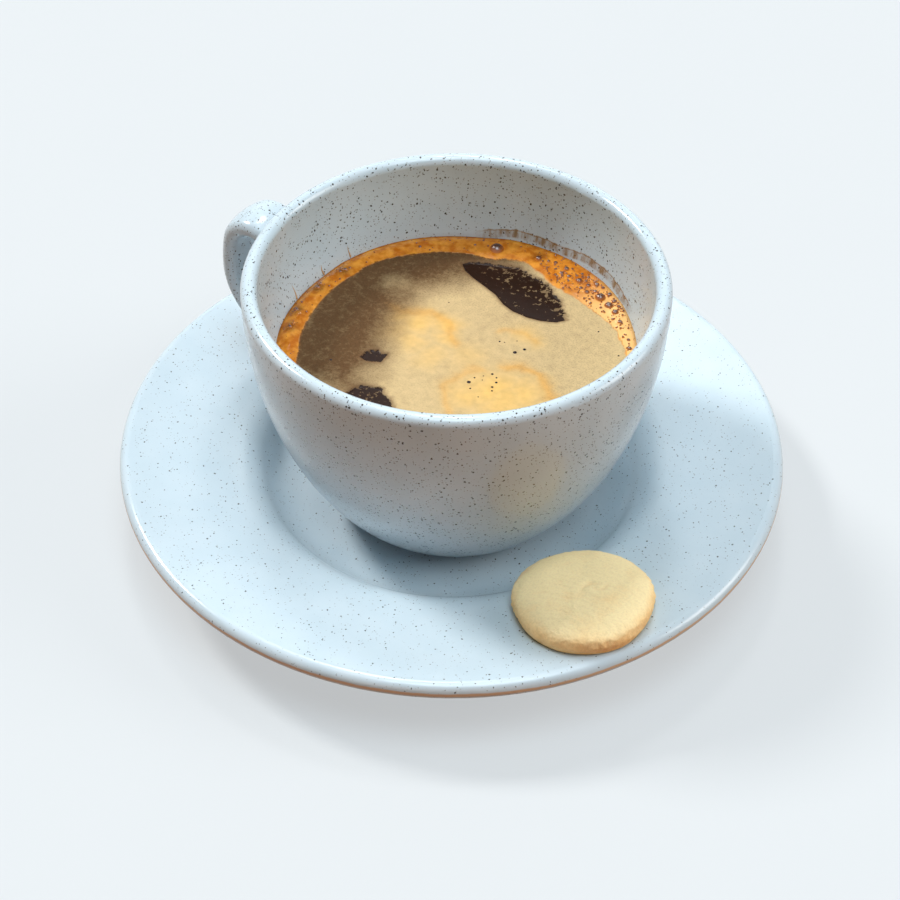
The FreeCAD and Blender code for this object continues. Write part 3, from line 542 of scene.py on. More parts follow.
def crema_material(look):
    """Crema: fine tan foam with golden drifts, wet orange froth at the wall, open coffee."""
    material, tree, shader, place = new_material("Coffee crema, foam")
    field = {label: add(tree, "Attribute", attribute_name=label).outputs["Fac"] for label in FIELDS}
    # Patterns: wavelength in millimetres, detail, roughness and distortion.
    torn, fleck, lather, cloudy, dots = [
        add(tree, "TexNoise", {"Vector": place, "Scale": 1 / (wavelength * MM), "Detail": detail,
            "Roughness": roughness, "Distortion": distortion})
        for wavelength, detail, roughness, distortion in (
            (1.0, 5.0, 0.68, 0.0), (1.25, 4.0, 0.62, 0.4), (2.0, 4.0, 0.5, 0.0),
            (1.6, 3.0, 0.5, 0.0), (0.42, 2.0, 0.7, 0.0))]
    # Openings have torn edges, and islands of foam about a millimetre across.
    spread = add(tree, "Math", {0: torn, 1: 3.6, 2: -1.8}, operation="MULTIPLY_ADD")
    reach = add(tree, "Math", {0: spread, 1: field["ragged"], 2: field["opening"]},
                operation="MULTIPLY_ADD")
    opened = add(tree, "MapRange", {"Value": reach, "From Min": -0.12, "From Max": 0.1},
                 interpolation_type="SMOOTHSTEP")
    bar = add(tree, "Math", {0: field["ragged"], 1: 0.11, 2: fleck}, operation="MULTIPLY_ADD")
    island = add(tree, "MapRange", {"Value": bar, "From Min": 0.66, "From Max": 0.69, "To Min": 1.0,
                 "To Max": 0.3})
    # Froth starts at a soft, slightly torn edge.
    frothing = add(tree, "Math", {0: lather, 1: 1.2, 2: field["froth"]}, operation="MULTIPLY_ADD")
    wet = add(tree, "MapRange", {"Value": frothing, "From Min": 0.35, "From Max": 1.15},
              interpolation_type="SMOOTHSTEP")
    sunk = add(tree, "Math", {0: 1.0, 1: wet}, operation="SUBTRACT")
    for mask in (opened, island):
        sunk = add(tree, "Math", {0: sunk, 1: mask}, operation="MULTIPLY")
    # Foam: tan with golden drifts and amber curls, darker where it is thinner and as painted shadow of
    # the cup's wall on the handle's side.
    mottled = add(tree, "Math", {0: torn, 1: -0.7, 2: 1.36}, operation="MULTIPLY_ADD")
    thinned_and_shaded = add(tree, "Math", {0: field["brown"], 1: mottled}, operation="MULTIPLY", use_clamp=True)
    foam = look.crema_tan
    for amount, tint in ((field["gold"], look.crema_gold), (field["amber"], look.crema_amber),
                         (thinned_and_shaded, look.crema_brown_and_shadow)):
        foam = add(tree, "Mix", {0: amount, 6: foam, 7: tint}, data_type="RGBA")
    shade = add(tree, "MapRange", {"Value": cloudy, "From Min": 0.3, "From Max": 0.7, "To Min": 0.92,
                "To Max": 1.06})
    foam = add(tree, "VectorMath", {0: foam, "Scale": shade}, operation="SCALE")
    # Grain of broken bubbles, under half a millimetre apart, and thin foam round the openings.
    dotted = add(tree, "MapRange", {"Value": dots, "From Min": 0.47, "From Max": 0.68,
                 "To Max": 0.62})
    grainy = add(tree, "Math", {0: dotted, 1: field["grain"]}, operation="MULTIPLY")
    fringe = add(tree, "MapRange", {"Value": reach, "From Min": -1.3, "From Max": 0.0, "To Max": 0.65},
                 interpolation_type="SMOOTHSTEP")
    for amount, tint in ((grainy, look.crema_dots), (fringe, look.crema_thin)):
        foam = add(tree, "Mix", {0: amount, 6: foam, 7: tint}, data_type="RGBA")
    # Froth: mottled orange, golden on one side as painted light where the window's light falls, dark in
    # its pools and at the wall.
    mottle = add(tree, "MapRange", {"Value": lather, "From Min": 0.35, "From Max": 0.68})
    lit = add(tree, "Math", {0: field["gold"], 1: 0.85}, operation="MULTIPLY")
    pooled = add(tree, "Math", {0: field["brown"], 1: dots}, operation="MULTIPLY")
    pooled = add(tree, "Math", {0: pooled, 1: 1.5}, operation="MULTIPLY", use_clamp=True)
    lined = add(tree, "Math", {0: field["amber"], 1: 0.5}, operation="MULTIPLY")
    froth = look.froth_deep
    for amount, tint in ((mottle, look.froth_light), (lit, look.froth_gold_and_lit), (pooled, look.froth_dark),
                         (lined, look.froth_dark)):
        froth = add(tree, "Mix", {0: amount, 6: froth, 7: tint}, data_type="RGBA")
    deep = add(tree, "Mix", {0: cloudy, 6: look.coffee_dark, 7: look.coffee_light}, data_type="RGBA")
    surface = foam
    for amount, tint in ((wet, froth), (sunk, deep)):
        surface = add(tree, "Mix", {0: amount, 6: surface, 7: tint}, data_type="RGBA")
    dull = add(tree, "MapRange", {"Value": wet, "To Min": 0.5, "To Max": 0.16})
    rough = add(tree, "Mix", {0: sunk, 2: dull, 3: 0.08}, data_type="FLOAT")
    relief = add(tree, "Math", {0: sunk, 1: -1.4, 2: dots}, operation="MULTIPLY_ADD")
    relief = add(tree, "Math", {0: mottle, 1: 0.5, 2: relief}, operation="MULTIPLY_ADD")
    bump = add(tree, "Bump", {"Height": relief, "Strength": 0.4, "Distance": 0.12 * MM})
    # Dry foam scatters, so it shines less than the wet froth and the coffee.
    shine = add(tree, "Math", {0: wet, 1: sunk}, operation="MAXIMUM")
    gloss = add(tree, "MapRange", {"Value": shine, "To Min": 0.1, "To Max": 0.2})
    feed(tree, shader, {"IOR": 1.36, "Specular IOR Level": gloss, "Roughness": rough,
                        "Normal": bump, "Base Color": surface})
    return material


def bubble_material(look):
    """Bubble of coffee film: dark liquid shows through its top, amber froth through its sides."""
    material, tree, shader, _ = new_material("Coffee film, blown bubble")
    facing = add(tree, "NewGeometry").outputs["Normal"]
    parts = add(tree, "SeparateXYZ", {"Vector": facing})
    tint = add(tree, "ValToRGB", {"Fac": parts.outputs["Z"]},
               stops=[(0.1, look.froth_light), (0.5, look.froth_deep), (0.95, look.froth_dark)])
    # Both faces of the film mirror the light, so it has a coat over the liquid's own gloss.
    feed(tree, shader, {"Roughness": 0.12, "IOR": 1.33, "Coat Weight": 0.35, "Coat Roughness": 0.17,
                        "Coat IOR": 2.1, "Base Color": tint})
    return material


def scatter_tree(name, material):
    """Geometry Nodes: a round bubble or pore at every point, and more at random on the faces."""
    tree = bpy.data.node_groups.new(name, "GeometryNodeTree")
    tree.interface.new_socket("Geometry", in_out="INPUT", socket_type="NodeSocketGeometry")
    for label, kind, default in (("Density", "Float", 0.0), ("Smallest", "Float", 0.1 * MM),
                                 ("Largest", "Float", 0.4 * MM), ("Flatness", "Float", 1.0),
                                 ("Seed", "Int", 0), ("Around", "Int", 10)):
        socket = tree.interface.new_socket(label, in_out="INPUT", socket_type="NodeSocket" + kind)
        socket.default_value = default
    tree.interface.new_socket("Geometry", in_out="OUTPUT", socket_type="NodeSocketGeometry")
    given = add(tree, "NodeGroupInput").outputs
    size, weight = [add(tree, "GeometryNodeInputNamedAttribute", {"Name": label}, data_type="FLOAT")
                    for label in ("size", "crowd")]
    density = add(tree, "Math", {0: given["Density"], 1: weight}, operation="MULTIPLY")
    thrown = add(tree, "GeometryNodeDistributePointsOnFaces", {"Mesh": given["Geometry"],
                 "Density": density, "Seed": given["Seed"]})
    chance = add(tree, "FunctionNodeRandomValue", {2: given["Smallest"], 3: given["Largest"],
                 "Seed": given["Seed"]}, data_type="FLOAT")
    sized = add(tree, "GeometryNodeStoreNamedAttribute", {"Geometry": thrown, "Name": "size",
                "Value": chance}, data_type="FLOAT", domain="POINT")
    placed = add(tree, "GeometryNodeMeshToPoints", {"Mesh": given["Geometry"]})
    listed = add(tree, "Math", {0: size, 1: 0.0}, operation="GREATER_THAN")
    chosen = add(tree, "GeometryNodeSeparateGeometry", {"Geometry": placed, "Selection": listed},
                 domain="POINT")
    points = add(tree, "GeometryNodeJoinGeometry")
    for part in (sized, chosen):
        feed(tree, points, {0: part})
    rings = add(tree, "Math", {0: given["Around"], 1: 0.6}, operation="MULTIPLY")
    ball = add(tree, "GeometryNodeMeshUVSphere", {"Segments": given["Around"], "Rings": rings,
               "Radius": 1.0})
    smooth = add(tree, "GeometryNodeSetShadeSmooth", {"Geometry": ball})
    flat = add(tree, "Math", {0: size, 1: given["Flatness"]}, operation="MULTIPLY")
    scale = add(tree, "CombineXYZ", {"X": size, "Y": size, "Z": flat})
    blown = add(tree, "GeometryNodeInstanceOnPoints", {"Points": points, "Instance": smooth,
                "Scale": scale})
    real = add(tree, "GeometryNodeRealizeInstances", {"Geometry": blown})
    painted = add(tree, "GeometryNodeSetMaterial", {"Geometry": real, "Material": material})
    add(tree, "NodeGroupOutput", {"Geometry": painted})
    return tree


def foam_height(x, y):
    """Height of the foam at a place on the drink, from the finished crema."""
    where = Vector((CUP_AXIS.x + x * MM, CUP_AXIS.y + y * MM, LEVEL + 10 * MM))
    hit, place, _, _ = bpy.data.objects["crema_foam"].ray_cast(where, Vector((0, 0, -1)))
    return place.z if hit else LEVEL


def seed_mesh(name, seeds, sink):
    """Loose points on the foam with their sizes; sink is a share of each size."""
    points = [(CUP_AXIS.x + x * MM, CUP_AXIS.y + y * MM, foam_height(x, y) - sink * radius * MM)
              for x, y, radius in seeds]
    mesh = bpy.data.meshes.new(name)
    mesh.from_pydata(points, [], [])
    mark(mesh, "size", [radius * MM for _, _, radius in seeds])
    return mesh


def ring_mesh(name):
    """The froth ring's faces, with how crowded with bubbles each part of it is."""
    crema = bpy.data.objects["crema_foam"].data
    count, least = len(crema.vertices), 0.01
    froth, places = np.zeros(count, np.float32), np.zeros(count * 3, np.float32)
    crema.attributes["froth"].data.foreach_get("value", froth)
    crema.vertices.foreach_get("co", places)
    places = places.reshape(-1, 3)
    x, y = (places[:, 0] - CUP_AXIS.x) / MM, (places[:, 1] - CUP_AXIS.y) / MM
    direction = np.degrees(np.arctan2(y, x))
    busy = 0.08 + step(20, 34, direction) * step(96, 80, direction)
    busy = np.maximum(busy, np.max([blob(x, y, *spot, 1.3) for spot in FROTH_POOLS], axis=0))
    crowd = busy * step(0.2, 1.2, froth) * (places[:, 2] > LEVEL - 1.3 * MM)
    crowd *= np.hypot(x, y) < wall_radius(LEVEL) / MM - 0.25
    mesh = crema.copy()
    work = bmesh.new()
    work.from_mesh(mesh)
    work.verts.ensure_lookup_table()
    spare = [work.verts[k] for k in np.flatnonzero(crowd < least)]
    bmesh.ops.delete(work, geom=spare, context="VERTS")
    work.to_mesh(mesh)
    work.free()
    mesh.name = name
    mark(mesh, "crowd", crowd[crowd >= least])
    return mesh


def drip_mesh(name):
    """Dried runs on the inner wall: thin tapering films, widest where they meet the froth."""
    points, faces = [], []
    around, along = 8, 24
    for direction, top, length, width in DRIPS:
        rings = []
        for k in range(along + 1):
            share = k / along
            height = LEVEL + (top - length * share) * MM
            wander = 0.12 * math.sin(share * 6 + direction) * MM
            turn = math.radians(direction) + wander / wall_radius(height)
            out = Vector((math.cos(turn), math.sin(turn), 0))
            side = Vector((-math.sin(turn), math.cos(turn), 0))
            half = width / 2 * MM * (0.16 + 0.84 * share ** 1.6)
            half *= min(1.0, 5 * share + 0.05) * min(1.0, 8 * (1 - share) + 0.05)
            middle = CUP_AXIS + out * wall_radius(height) + Vector((0, 0, height))
            rings.append((len(points), around))
            for j in range(around):
                angle = math.tau * j / around
                points.append(middle + side * half * math.cos(angle)
                              + out * min(half, 0.14 * MM) * math.sin(angle))
        faces += ring_faces(rings, around)
        faces += [tuple(start + j for j in range(around)) for start, _ in (rings[0], rings[-1])]
    return grid_mesh(name, points, faces)


def drip_material(look):
    """Dried coffee: a thin amber-brown varnish."""
    material, tree, shader, place = new_material("Dried coffee, varnish")
    patchy = add(tree, "TexNoise", {"Vector": place, "Scale": 1 / (0.8 * MM)})
    colour = add(tree, "Mix", {0: patchy, 6: look.stain_light, 7: look.clay}, data_type="RGBA")
    feed(tree, shader, {"Roughness": 0.3, "Base Color": colour})
    return material


# ---------------------------------------------------------------- biscuit

def biscuit_frame():
    """Matrix that puts the biscuit where its solid lies, its thickness and its outline."""
    corners = np.array([v.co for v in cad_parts["biscuit"].data.vertices], float)
    middle = corners.mean(0)
    axes = np.linalg.svd(corners - middle, full_matrices=False)[2]
    up = Vector(axes[2]) * (1 if axes[2][2] > 0 else -1)
    out = Vector((middle[0], middle[1], 0))
    out = (out - up * out.dot(up)).normalized()
    side = up.cross(out)
    spans = [corners @ np.array(axis) for axis in (out, side, up)]
    place = [(span.max() + span.min()) / 2 for span in spans[:2]] + [spans[2].min()]
    across, along = spans[0] - place[0], spans[1] - place[1]
    turns, reach = np.arctan2(along, across), np.hypot(across, along)
    # The outline is the solid's reach in each direction, up to 5 degrees to each side of it.
    cosine = 0.996
    outline = [reach[np.cos(turns - math.tau * k / BISCUIT_SIDES) > cosine].max()
               for k in range(BISCUIT_SIDES)]
    turned = Matrix((out, side, up)).transposed().to_4x4()
    origin = out * place[0] + side * place[1] + up * place[2]
    return Matrix.Translation(origin) @ turned, spans[2].max() - spans[2].min(), outline


def biscuit_profile():
    """Section of the biscuit from its base's middle to its top's: shares of radius and height."""
    waist, side_steps, top_steps = 0.36, 12, 72
    base = [(share, 0.0) for share in (0.0, 0.4, 0.75)]
    side = [(0.93 + 0.07 * math.sin(math.pi / 2 * k / side_steps), waist * k / side_steps)
            for k in range(side_steps + 1)]
    radii = [1 - (k / top_steps) ** 1.35 for k in range(1, top_steps + 1)]
    return base + side + [(radius, waist + (1 - waist) * (1 - radius ** 3) ** 0.38) for radius in radii]


def biscuit_relief(look, x, y, z, on_top):
    """How far the biscuit's surface stands out at a place: ridges and a twist on top, a rough side."""
    # Fine curved ridges cross the top, 1.6 mm apart.
    far = math.hypot(x - 15 * MM, y + 24 * MM)
    ridge = math.sin(far / (1.6 * MM) * 2 * math.pi + 3.6 * noise_at(x, y, z, 5 * MM, 3))
    patchy = max(0.0, 0.5 + noise_at(x, y, z + 0.05, 7 * MM, 2))
    rough = look.wrinkle * 0.16 * ridge * patchy * on_top
    rough += look.wrinkle * 0.4 * noise_at(x, y, z, 2.0 * MM, 5)
    rough += 0.22 * MM * noise_at(x, y, z, 8 * MM, 2) * on_top
    # The twist has two arms round a middle that is a little off the biscuit's own.
    aside, ahead = x - 1.5 * MM, y - 2.0 * MM
    near = math.hypot(aside, ahead) / MM
    curl = math.sin(math.atan2(ahead, aside) * 2 - near * 1.3 + 1.5 * noise_at(x, y, 0, 3 * MM, 2))
    rough += look.twist * curl * math.exp(-((near - 1.6) / 2.0) ** 2) * on_top
    return rough + look.wrinkle * (noise_at(x, y, z, 1.3 * MM, 4) - 0.7) * (1 - on_top)


def biscuit_mesh(name):
    """Round shortbread: flat base, rounded side, finely ridged top with a twist at its middle."""
    look = bpy.context.scene.coffee_biscuit
    where, thickness, outline = biscuit_frame()
    around, points, bake, rings = 360, [], [], []
    for wide, high in biscuit_profile():
        rings.append((len(points), around if wide > 1e-6 else 1))
        for j in range(rings[-1][1]):
            angle = math.tau * j / around
            spot = j / around * BISCUIT_SIDES
            low, part = int(spot) % BISCUIT_SIDES, spot - int(spot)
            reach = outline[low] * (1 - part) + outline[(low + 1) % BISCUIT_SIDES] * part
            reach -= BISCUIT_SHY
            x, y = wide * reach * math.cos(angle), wide * reach * math.sin(angle)
            z = high * thickness
            on_top = step(0.5, 0.9, high)
            rough = biscuit_relief(look, x, y, z, on_top) * step(0.0, 0.12, high)
            sink = 0.42 * MM * step(0.3, 1.0, high)
            out = Vector((math.cos(angle), math.sin(angle), 0)) * (rough * (1 - on_top))
            lift = rough * on_top - sink
            points.append(where @ (Vector((x, y, max(0.0, z + lift))) + out))
            tone = 0.6 * step(0.82, 1.0, wide) * step(1.0, 0.3, high) + 0.3 * step(0.2, 0.0, high)
            bake.append(float(np.clip(tone - 0.22 * rough / look.wrinkle * on_top, 0, 1)))
    mesh = grid_mesh(name, points, ring_faces(rings, around))
    mark(mesh, "bake", bake)
    return mesh


def biscuit_material(look):
    """Shortbread, oven baked: pale crumb that browns toward the edge."""
    material, tree, shader, place = new_material("Shortbread, baked")
    bake = add(tree, "Attribute", attribute_name="bake").outputs["Fac"]
    patch = add(tree, "TexNoise", {"Vector": place, "Scale": 1 / (5 * MM), "Detail": 4.0})
    crumb = add(tree, "TexNoise", {"Vector": place, "Scale": 1 / (0.5 * MM), "Detail": 4.0})
    browned = add(tree, "Math", {0: patch, 1: 0.7, 2: -0.38}, operation="MULTIPLY_ADD")
    amount = add(tree, "Math", {0: browned, 1: bake}, operation="ADD", use_clamp=True)
    colour = add(tree, "Mix", {0: amount, 6: look.crumb, 7: look.crust}, data_type="RGBA")
    tone = add(tree, "MapRange", {"Value": crumb, "From Min": 0.3, "From Max": 0.7, "To Min": 0.93,
               "To Max": 1.05})
    colour = add(tree, "VectorMath", {0: colour, "Scale": tone}, operation="SCALE")
    bump = add(tree, "Bump", {"Height": crumb, "Strength": 0.5, "Distance": 0.25 * MM})
    feed(tree, shader, {"Roughness": 0.75, "IOR": 1.42, "Normal": bump, "Base Color": colour})
    return material


# ---------------------------------------------------------------- stage

def seen_rays(tree):
    """Mask of the rays that see the background: from the camera, mirrored or through glass."""
    path = add(tree, "LightPath").outputs
    seen = path["Is Camera Ray"]
    for kind in ("Is Glossy Ray", "Is Transmission Ray"):
        seen = add(tree, "Math", {0: seen, 1: path[kind]}, operation="MAXIMUM")
    return seen


def floor_material(look):
    """Matt pale board. Seen or mirrored it has its own pale tint; it throws warm light back."""
    material, tree, shader, place = new_material("Painted board, matt")
    seen = seen_rays(tree)
    mottle = add(tree, "TexNoise", {"Vector": place, "Scale": 1 / (40 * MM)})
    tone = add(tree, "MapRange", {"Value": mottle, "To Min": look.floor_return * 0.99,
               "To Max": look.floor_return * 1.01})
    pale = add(tree, "VectorMath", {0: look.floor_tint[:3], "Scale": tone}, operation="SCALE")
    colour = add(tree, "Mix", {0: seen, 6: look.floor_bounce, 7: pale}, data_type="RGBA")
    glow = add(tree, "Math", {0: seen, 1: look.floor_own}, operation="MULTIPLY")
    feed(tree, shader, {"Roughness": 0.9, "Specular IOR Level": 0.1, "Base Color": colour,
                        "Emission Color": look.floor_tint, "Emission Strength": glow})
    return material


def soft_light(name, turn, rise, width, strength, tint):
    """Far light of some width, from a direction: turn round the vertical, rise over the floor."""
    lamp = bpy.data.lights.new(name, "SUN")
    lamp.energy, lamp.angle, lamp.color = strength, width, tint
    light = bpy.data.objects.new(name, lamp)
    level = math.cos(rise)
    toward = Vector((level * math.cos(turn), level * math.sin(turn), math.sin(rise)))
    light.rotation_euler = toward.to_track_quat("Z", "Y").to_euler()
    bpy.context.scene.collection.objects.link(light)


def set_world(look):
    """Even dim surroundings; seen directly or mirrored they are as pale as the floor."""
    world = bpy.data.worlds.new("Studio")
    bpy.context.scene.world = world
    world.use_nodes = True
    tree = world.node_tree
    tree.nodes.clear()
    dim = add(tree, "Background", {"Color": look.world_tint, "Strength": look.world_level})
    pale = add(tree, "Background", {"Color": look.floor_tint, "Strength": 1.0})
    mixed = add(tree, "MixShader", {0: seen_rays(tree), 1: dim, 2: pale})
    add(tree, "OutputWorld", {"Surface": mixed})


def set_camera():
    """Camera above the front, 43 degrees down, level to a third of a degree."""
    place, target = Vector((0.2105, -0.3013, 0.3628)), Vector((-0.01055, 0.0144, -0.002))
    roll = math.radians(0.347)
    forward = (target - place).normalized()
    right = forward.cross(Vector((0, 0, 1))).normalized()
    up = right.cross(forward)
    across = right * math.cos(roll) + up * math.sin(roll)
    above = up * math.cos(roll) - right * math.sin(roll)
    data = bpy.data.cameras.new("Camera")
    data.lens = 83.0
    data.sensor_width = 36.0
    data.clip_start = 0.01
    camera = bpy.data.objects.new("Camera", data)
    turned = Matrix((across, above, -forward)).transposed().to_4x4()
    camera.matrix_world = Matrix.Translation(place) @ turned
    bpy.context.scene.collection.objects.link(camera)
    bpy.context.scene.camera = camera


# ---------------------------------------------------------------- settings

def colour(name, meaning, hex_colour):
    """Colour setting with its default."""
    return FloatVectorProperty(name=name, description=meaning, subtype="COLOR", size=4,
                               min=0.0, max=1.0, default=linear(hex_colour))


def number(name, meaning, default, unit="NONE"):
    """Number setting with its default; lengths are in metres and turns in radians."""
    return FloatProperty(name=name, description=meaning, default=default, unit=unit)


class CoffeeCupSettings(bpy.types.PropertyGroup):
    wall: number("Wall", "Thickness of the bowl at its rim", 3.8 * MM, "LENGTH")
    inside_depth: number("Inside Depth", "Depth of the bowl under its rim", 53.1 * MM, "LENGTH")
    speck_spacing: number("Speck Spacing", "Distance between specks, mm", 0.78)
    glaze_light: colour("Glaze", "Glaze where it is thick", "#c9d7df")
    glaze_deep: colour("Glaze Shade", "Glaze where it is thin", "#bbcdd7")
    speck_dark: colour("Dark Specks", "Iron specks", "#33302e")
    speck_brown: colour("Brown Specks", "Fine iron specks", "#625f5a")
    speck_white: colour("White Specks", "Undissolved grains", "#f4f8fa")
    clay: colour("Clay", "Bare clay under the lip", "#ceac86")
    stain: colour("Stain", "Dried coffee on the wall", "#70542a")
    stain_light: colour("Thin Stain", "Thin dried coffee on the wall", "#a9834c")


class CoffeeDrinkSettings(bpy.types.PropertyGroup):
    froth_height: number("Froth Height", "How far the froth ring stands up", 0.5 * MM, "LENGTH")
    coffee_depth: number("Coffee Under Crema", "Foam's top down to the coffee", 0.6 * MM, "LENGTH")
    bubble_density: number("Bubbles", "Small bubbles for each square metre", 1100000.0)
    seed: IntProperty(name="Seed", description="Seed of the small bubbles", default=7)
    coffee_dark: colour("Coffee", "Deep coffee", "#21130b")
    coffee_light: colour("Coffee Haze", "Coffee with fine foam in it", "#2d180e")
    crema_tan: colour("Crema", "Plain crema", "#c8ad80")
    crema_gold: colour("Golden Crema", "Fresh golden crema", "#e0b56c")
    crema_amber: colour("Amber Crema", "Curls of deeper foam", "#d59d4e")
    # Brown Crema is also the colour of the painted shadow that the cup's wall casts on the foam by the
    # handle.
    crema_brown_and_shadow: colour("Brown Crema", "Dark foam by the handle", "#5e432a")
    crema_dots: colour("Crema Grain", "Broken bubbles in the foam", "#46351f")
    crema_thin: colour("Thin Crema", "Foam at an opening's edge", "#6d5036")
    froth_deep: colour("Froth", "Orange froth", "#b8630c")
    froth_light: colour("Light Froth", "Lighter orange froth", "#e09535")
    # Golden Froth is also painted light: the froth on the right is lighter where the window's light falls
    # on it.
    froth_gold_and_lit: colour("Golden Froth", "Pale bubbly froth on the right", "#f5c27c")
    froth_dark: colour("Dark Froth", "Coffee between the bubbles", "#4a2308")


class CoffeeBiscuitSettings(bpy.types.PropertyGroup):
    wrinkle: number("Wrinkle", "Height of the wrinkles on the biscuit's top", 0.22 * MM, "LENGTH")
    twist: number("Twist", "Height of the twist at the biscuit's middle", 0.11 * MM, "LENGTH")
    crumb: colour("Crumb", "Pale baked top", "#ffe6b0")
    crust: colour("Crust", "Browned edge", "#f4bc6e")


class CoffeeStageSettings(bpy.types.PropertyGroup):
    floor_size: number("Floor Size", "Side of the floor", 6.0, "LENGTH")
    key_strength: number("Window", "Strength of the window's light", 2.35)
    key_width: number("Window Width", "Angle across the window's light", math.radians(12), "ROTATION")
    key_turn: number("Window Turn", "Direction the light comes from", math.radians(181), "ROTATION")
    key_rise: number("Window Rise", "Height over the horizon", math.radians(45), "ROTATION")
    overhead_strength: number("Overhead", "Strength of the overhead softbox", 0.45)
    side_strength: number("Side", "Strength of the side softbox", 1.4)
    back_strength: number("Back", "Strength of the back softbox", 0.3)
    front_strength: number("Front", "Strength of the high front softbox", 1.4)
    lamp_strength: number("Back Lamp", "Strength of the small back lamp", 0.55)
    warm_strength: number("Warm Front", "Strength of the low warm light", 0.6)
    world_level: number("Surroundings", "Strength of the surroundings", 0.01)
    floor_own: number("Floor Own Light", "Share of the pale floor's own light", 0.58)
    floor_return: number("Floor Return", "Share that shows light and shadow", 0.29)
    floor_tint: colour("Floor", "Pale floor", "#edf2f5")
    floor_bounce: colour("Floor Bounce", "Tint of the light that the floor returns", "#80501f")
    world_tint: colour("Surroundings Tint", "Tint of the surroundings", "#f0f0ee")


# ---------------------------------------------------------------- operators

class COFFEECUP_OT_glaze(bpy.types.Operator):
    """Glaze the cup and the saucer"""
    bl_idname = "coffee_cup.glaze"
    bl_label = "Glaze Cup and Saucer"

    def execute(self, context):
        look = context.scene.coffee_cup
        dress("saucer", saucer_glaze(look))
        dress("cup", cup_glaze(look))
        return {"FINISHED"}


class COFFEECUP_OT_pour(bpy.types.Operator):
    """Pour the coffee and lay the crema over it"""
    bl_idname = "coffee_cup.pour"
    bl_label = "Pour Coffee"

    def execute(self, context):
        look = context.scene.coffee_drink
        pour = turned_mesh("coffee_pour", pour_profile(LEVEL - look.coffee_depth), 160)
        liquid = coffee_material("Black coffee, liquid", look)
        new_piece("coffee_pour", pour, liquid, replaces="coffee")
        foam = crema_mesh("crema_foam")
        new_piece("crema_foam", foam, crema_material(look), replaces="crema")
        return {"FINISHED"}


class COFFEECUP_OT_bubbles(bpy.types.Operator):
    """Blow the bubbles in the froth and prick the pinholes in the crema"""
    bl_idname = "coffee_cup.bubbles"
    bl_label = "Make Bubbles"

    def execute(self, context):
        look = context.scene.coffee_drink
        if "crema_foam" not in bpy.data.objects:
            raise RuntimeError("pour the coffee first")
        film = bubble_material(look)
        dark = coffee_material("Black coffee, in pinholes", look)
        jobs = [
            ("bubbles_large", seed_mesh("bubbles_large", BUBBLES, 0.25), film,
             {"Around": 28, "Flatness": 0.9}),
            ("bubbles_small", ring_mesh("bubbles_small"), film,
             {"Around": 9, "Density": look.bubble_density, "Smallest": 0.1 * MM,
              "Largest": 0.36 * MM, "Seed": look.seed}),
            ("pinholes", seed_mesh("pinholes", PINHOLES, -0.02), dark,
             {"Around": 14, "Flatness": 0.12}),
        ]
        for name, mesh, material, values in jobs:
            piece = bpy.data.objects.new(name, mesh)
            context.scene.collection.objects.link(piece)
            made = bake_nodes(piece, scatter_tree(name, material), values)
            bpy.data.objects.remove(piece)
            if not made.polygons:
                raise RuntimeError(f"{name} came out empty")
            new_piece(name, made, None)
        return {"FINISHED"}


class COFFEECUP_OT_drips(bpy.types.Operator):
    """Add the dried runs of coffee on the inner wall"""
    bl_idname = "coffee_cup.drips"
    bl_label = "Add Drips"

    def execute(self, context):
        material = drip_material(context.scene.coffee_cup)
        new_piece("dried_drips", drip_mesh("dried_drips"), material)
        return {"FINISHED"}


class COFFEECUP_OT_biscuit(bpy.types.Operator):
    """Bake the biscuit on the saucer's rim"""
    bl_idname = "coffee_cup.biscuit"
    bl_label = "Bake Biscuit"

    def execute(self, context):
        material = biscuit_material(context.scene.coffee_biscuit)
        new_piece("biscuit_baked", biscuit_mesh("biscuit_baked"), material,
                  replaces="biscuit")
        return {"FINISHED"}


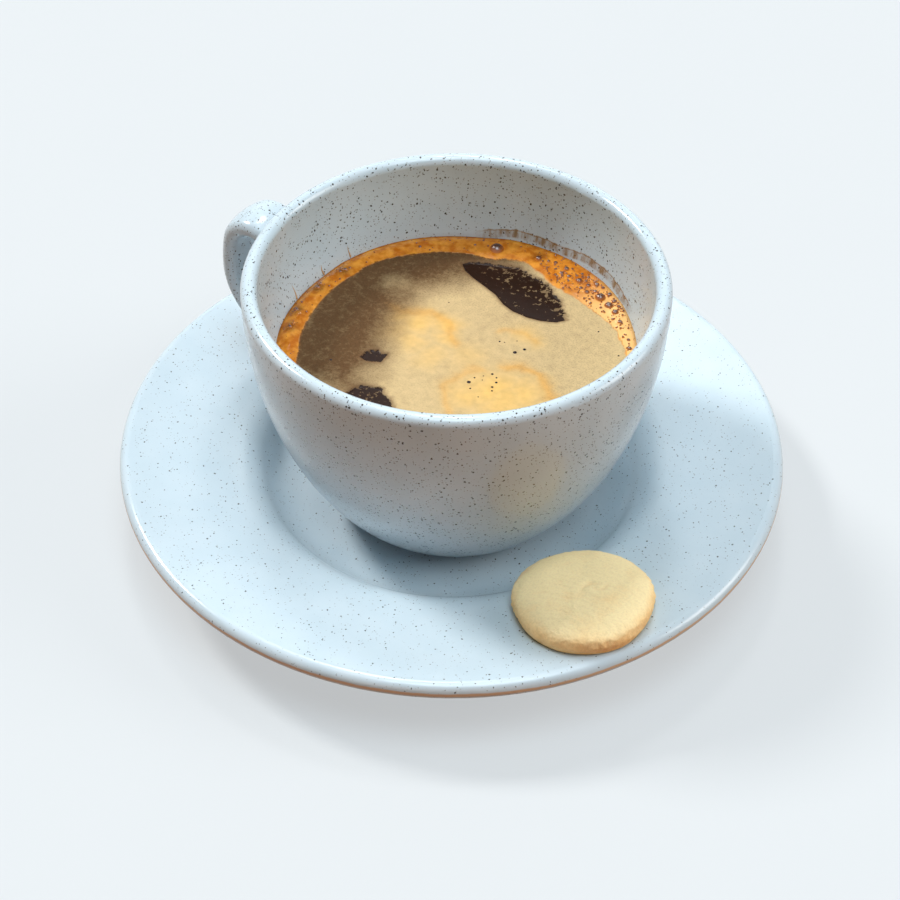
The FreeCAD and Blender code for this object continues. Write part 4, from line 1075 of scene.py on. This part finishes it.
class COFFEECUP_OT_stage(bpy.types.Operator):
    """Set up the floor, the lights, the surroundings and the camera"""
    bl_idname = "coffee_cup.stage"
    bl_label = "Set Stage"

    def execute(self, context):
        look = context.scene.coffee_stage
        half = look.floor_size / 2
        corners = [(-half, -half, 0), (half, -half, 0), (half, half, 0), (-half, half, 0)]
        floor = bpy.data.meshes.new("floor")
        floor.from_pydata(corners, [], [(0, 1, 2, 3)])
        floor.materials.append(floor_material(look))
        board = bpy.data.objects.new("floor", floor)
        context.scene.collection.objects.link(board)
        soft_light("Window", look.key_turn, look.key_rise, look.key_width, look.key_strength,
                   (1.0, 0.98, 0.955))
        for name, turn, rise, width, strength, tint in (
                ("Overhead softbox", 0, 89.9, 42, look.overhead_strength, (0.97, 0.99, 1.0)),
                ("Side softbox", 35, 28, 32, look.side_strength, (1.0, 0.98, 0.95)),
                ("Back softbox", 125, 28, 50, look.back_strength, (0.9, 0.97, 1.0)),
                ("Front softbox", -35, 78, 34, look.front_strength, (0.74, 0.9, 1.0)),
                ("Back lamp", 130, 60, 9, look.lamp_strength, (1.0, 1.0, 1.0)),
                ("Low warm front", -55, 5, 56, look.warm_strength, (1.0, 0.5, 0.22))):
            soft_light(name, math.radians(turn), math.radians(rise), math.radians(width),
                       strength, tint)
        set_world(look)
        set_camera()
        context.scene.view_settings.view_transform = "Standard"
        return {"FINISHED"}


class COFFEECUP_PT_panel(bpy.types.Panel):
    """Shows the cup's operators and their settings"""
    bl_idname = "COFFEECUP_PT_panel"
    bl_label = "Coffee Cup"
    bl_space_type = "VIEW_3D"
    bl_region_type = "UI"
    bl_category = "Coffee Cup"

    def draw(self, context):
        for operator in OPERATORS:
            self.layout.operator(operator.bl_idname)
        for label in ("coffee_cup", "coffee_drink", "coffee_biscuit", "coffee_stage"):
            box = self.layout.box()
            settings = getattr(context.scene, label)
            for name in settings.bl_rna.properties.keys()[2:]:
                box.prop(settings, name)


OPERATORS = (COFFEECUP_OT_stage, COFFEECUP_OT_glaze, COFFEECUP_OT_pour, COFFEECUP_OT_bubbles,
             COFFEECUP_OT_drips, COFFEECUP_OT_biscuit)
SETTINGS = {"coffee_cup": CoffeeCupSettings, "coffee_drink": CoffeeDrinkSettings,
            "coffee_biscuit": CoffeeBiscuitSettings, "coffee_stage": CoffeeStageSettings}


def register():
    for settings in SETTINGS.values():
        bpy.utils.register_class(settings)
    for operator in OPERATORS:
        bpy.utils.register_class(operator)
    bpy.utils.register_class(COFFEECUP_PT_panel)
    for name, settings in SETTINGS.items():
        setattr(bpy.types.Scene, name, PointerProperty(type=settings))


def unregister():
    for name in SETTINGS:
        delattr(bpy.types.Scene, name)
    bpy.utils.unregister_class(COFFEECUP_PT_panel)
    for operator in reversed(OPERATORS):
        bpy.utils.unregister_class(operator)
    for settings in SETTINGS.values():
        bpy.utils.unregister_class(settings)


def main():
    register()
    bpy.ops.coffee_cup.stage()
    bpy.ops.coffee_cup.glaze()
    bpy.ops.coffee_cup.pour()
    bpy.ops.coffee_cup.bubbles()
    bpy.ops.coffee_cup.drips()
    bpy.ops.coffee_cup.biscuit()


if __name__ == "__main__":
    main()
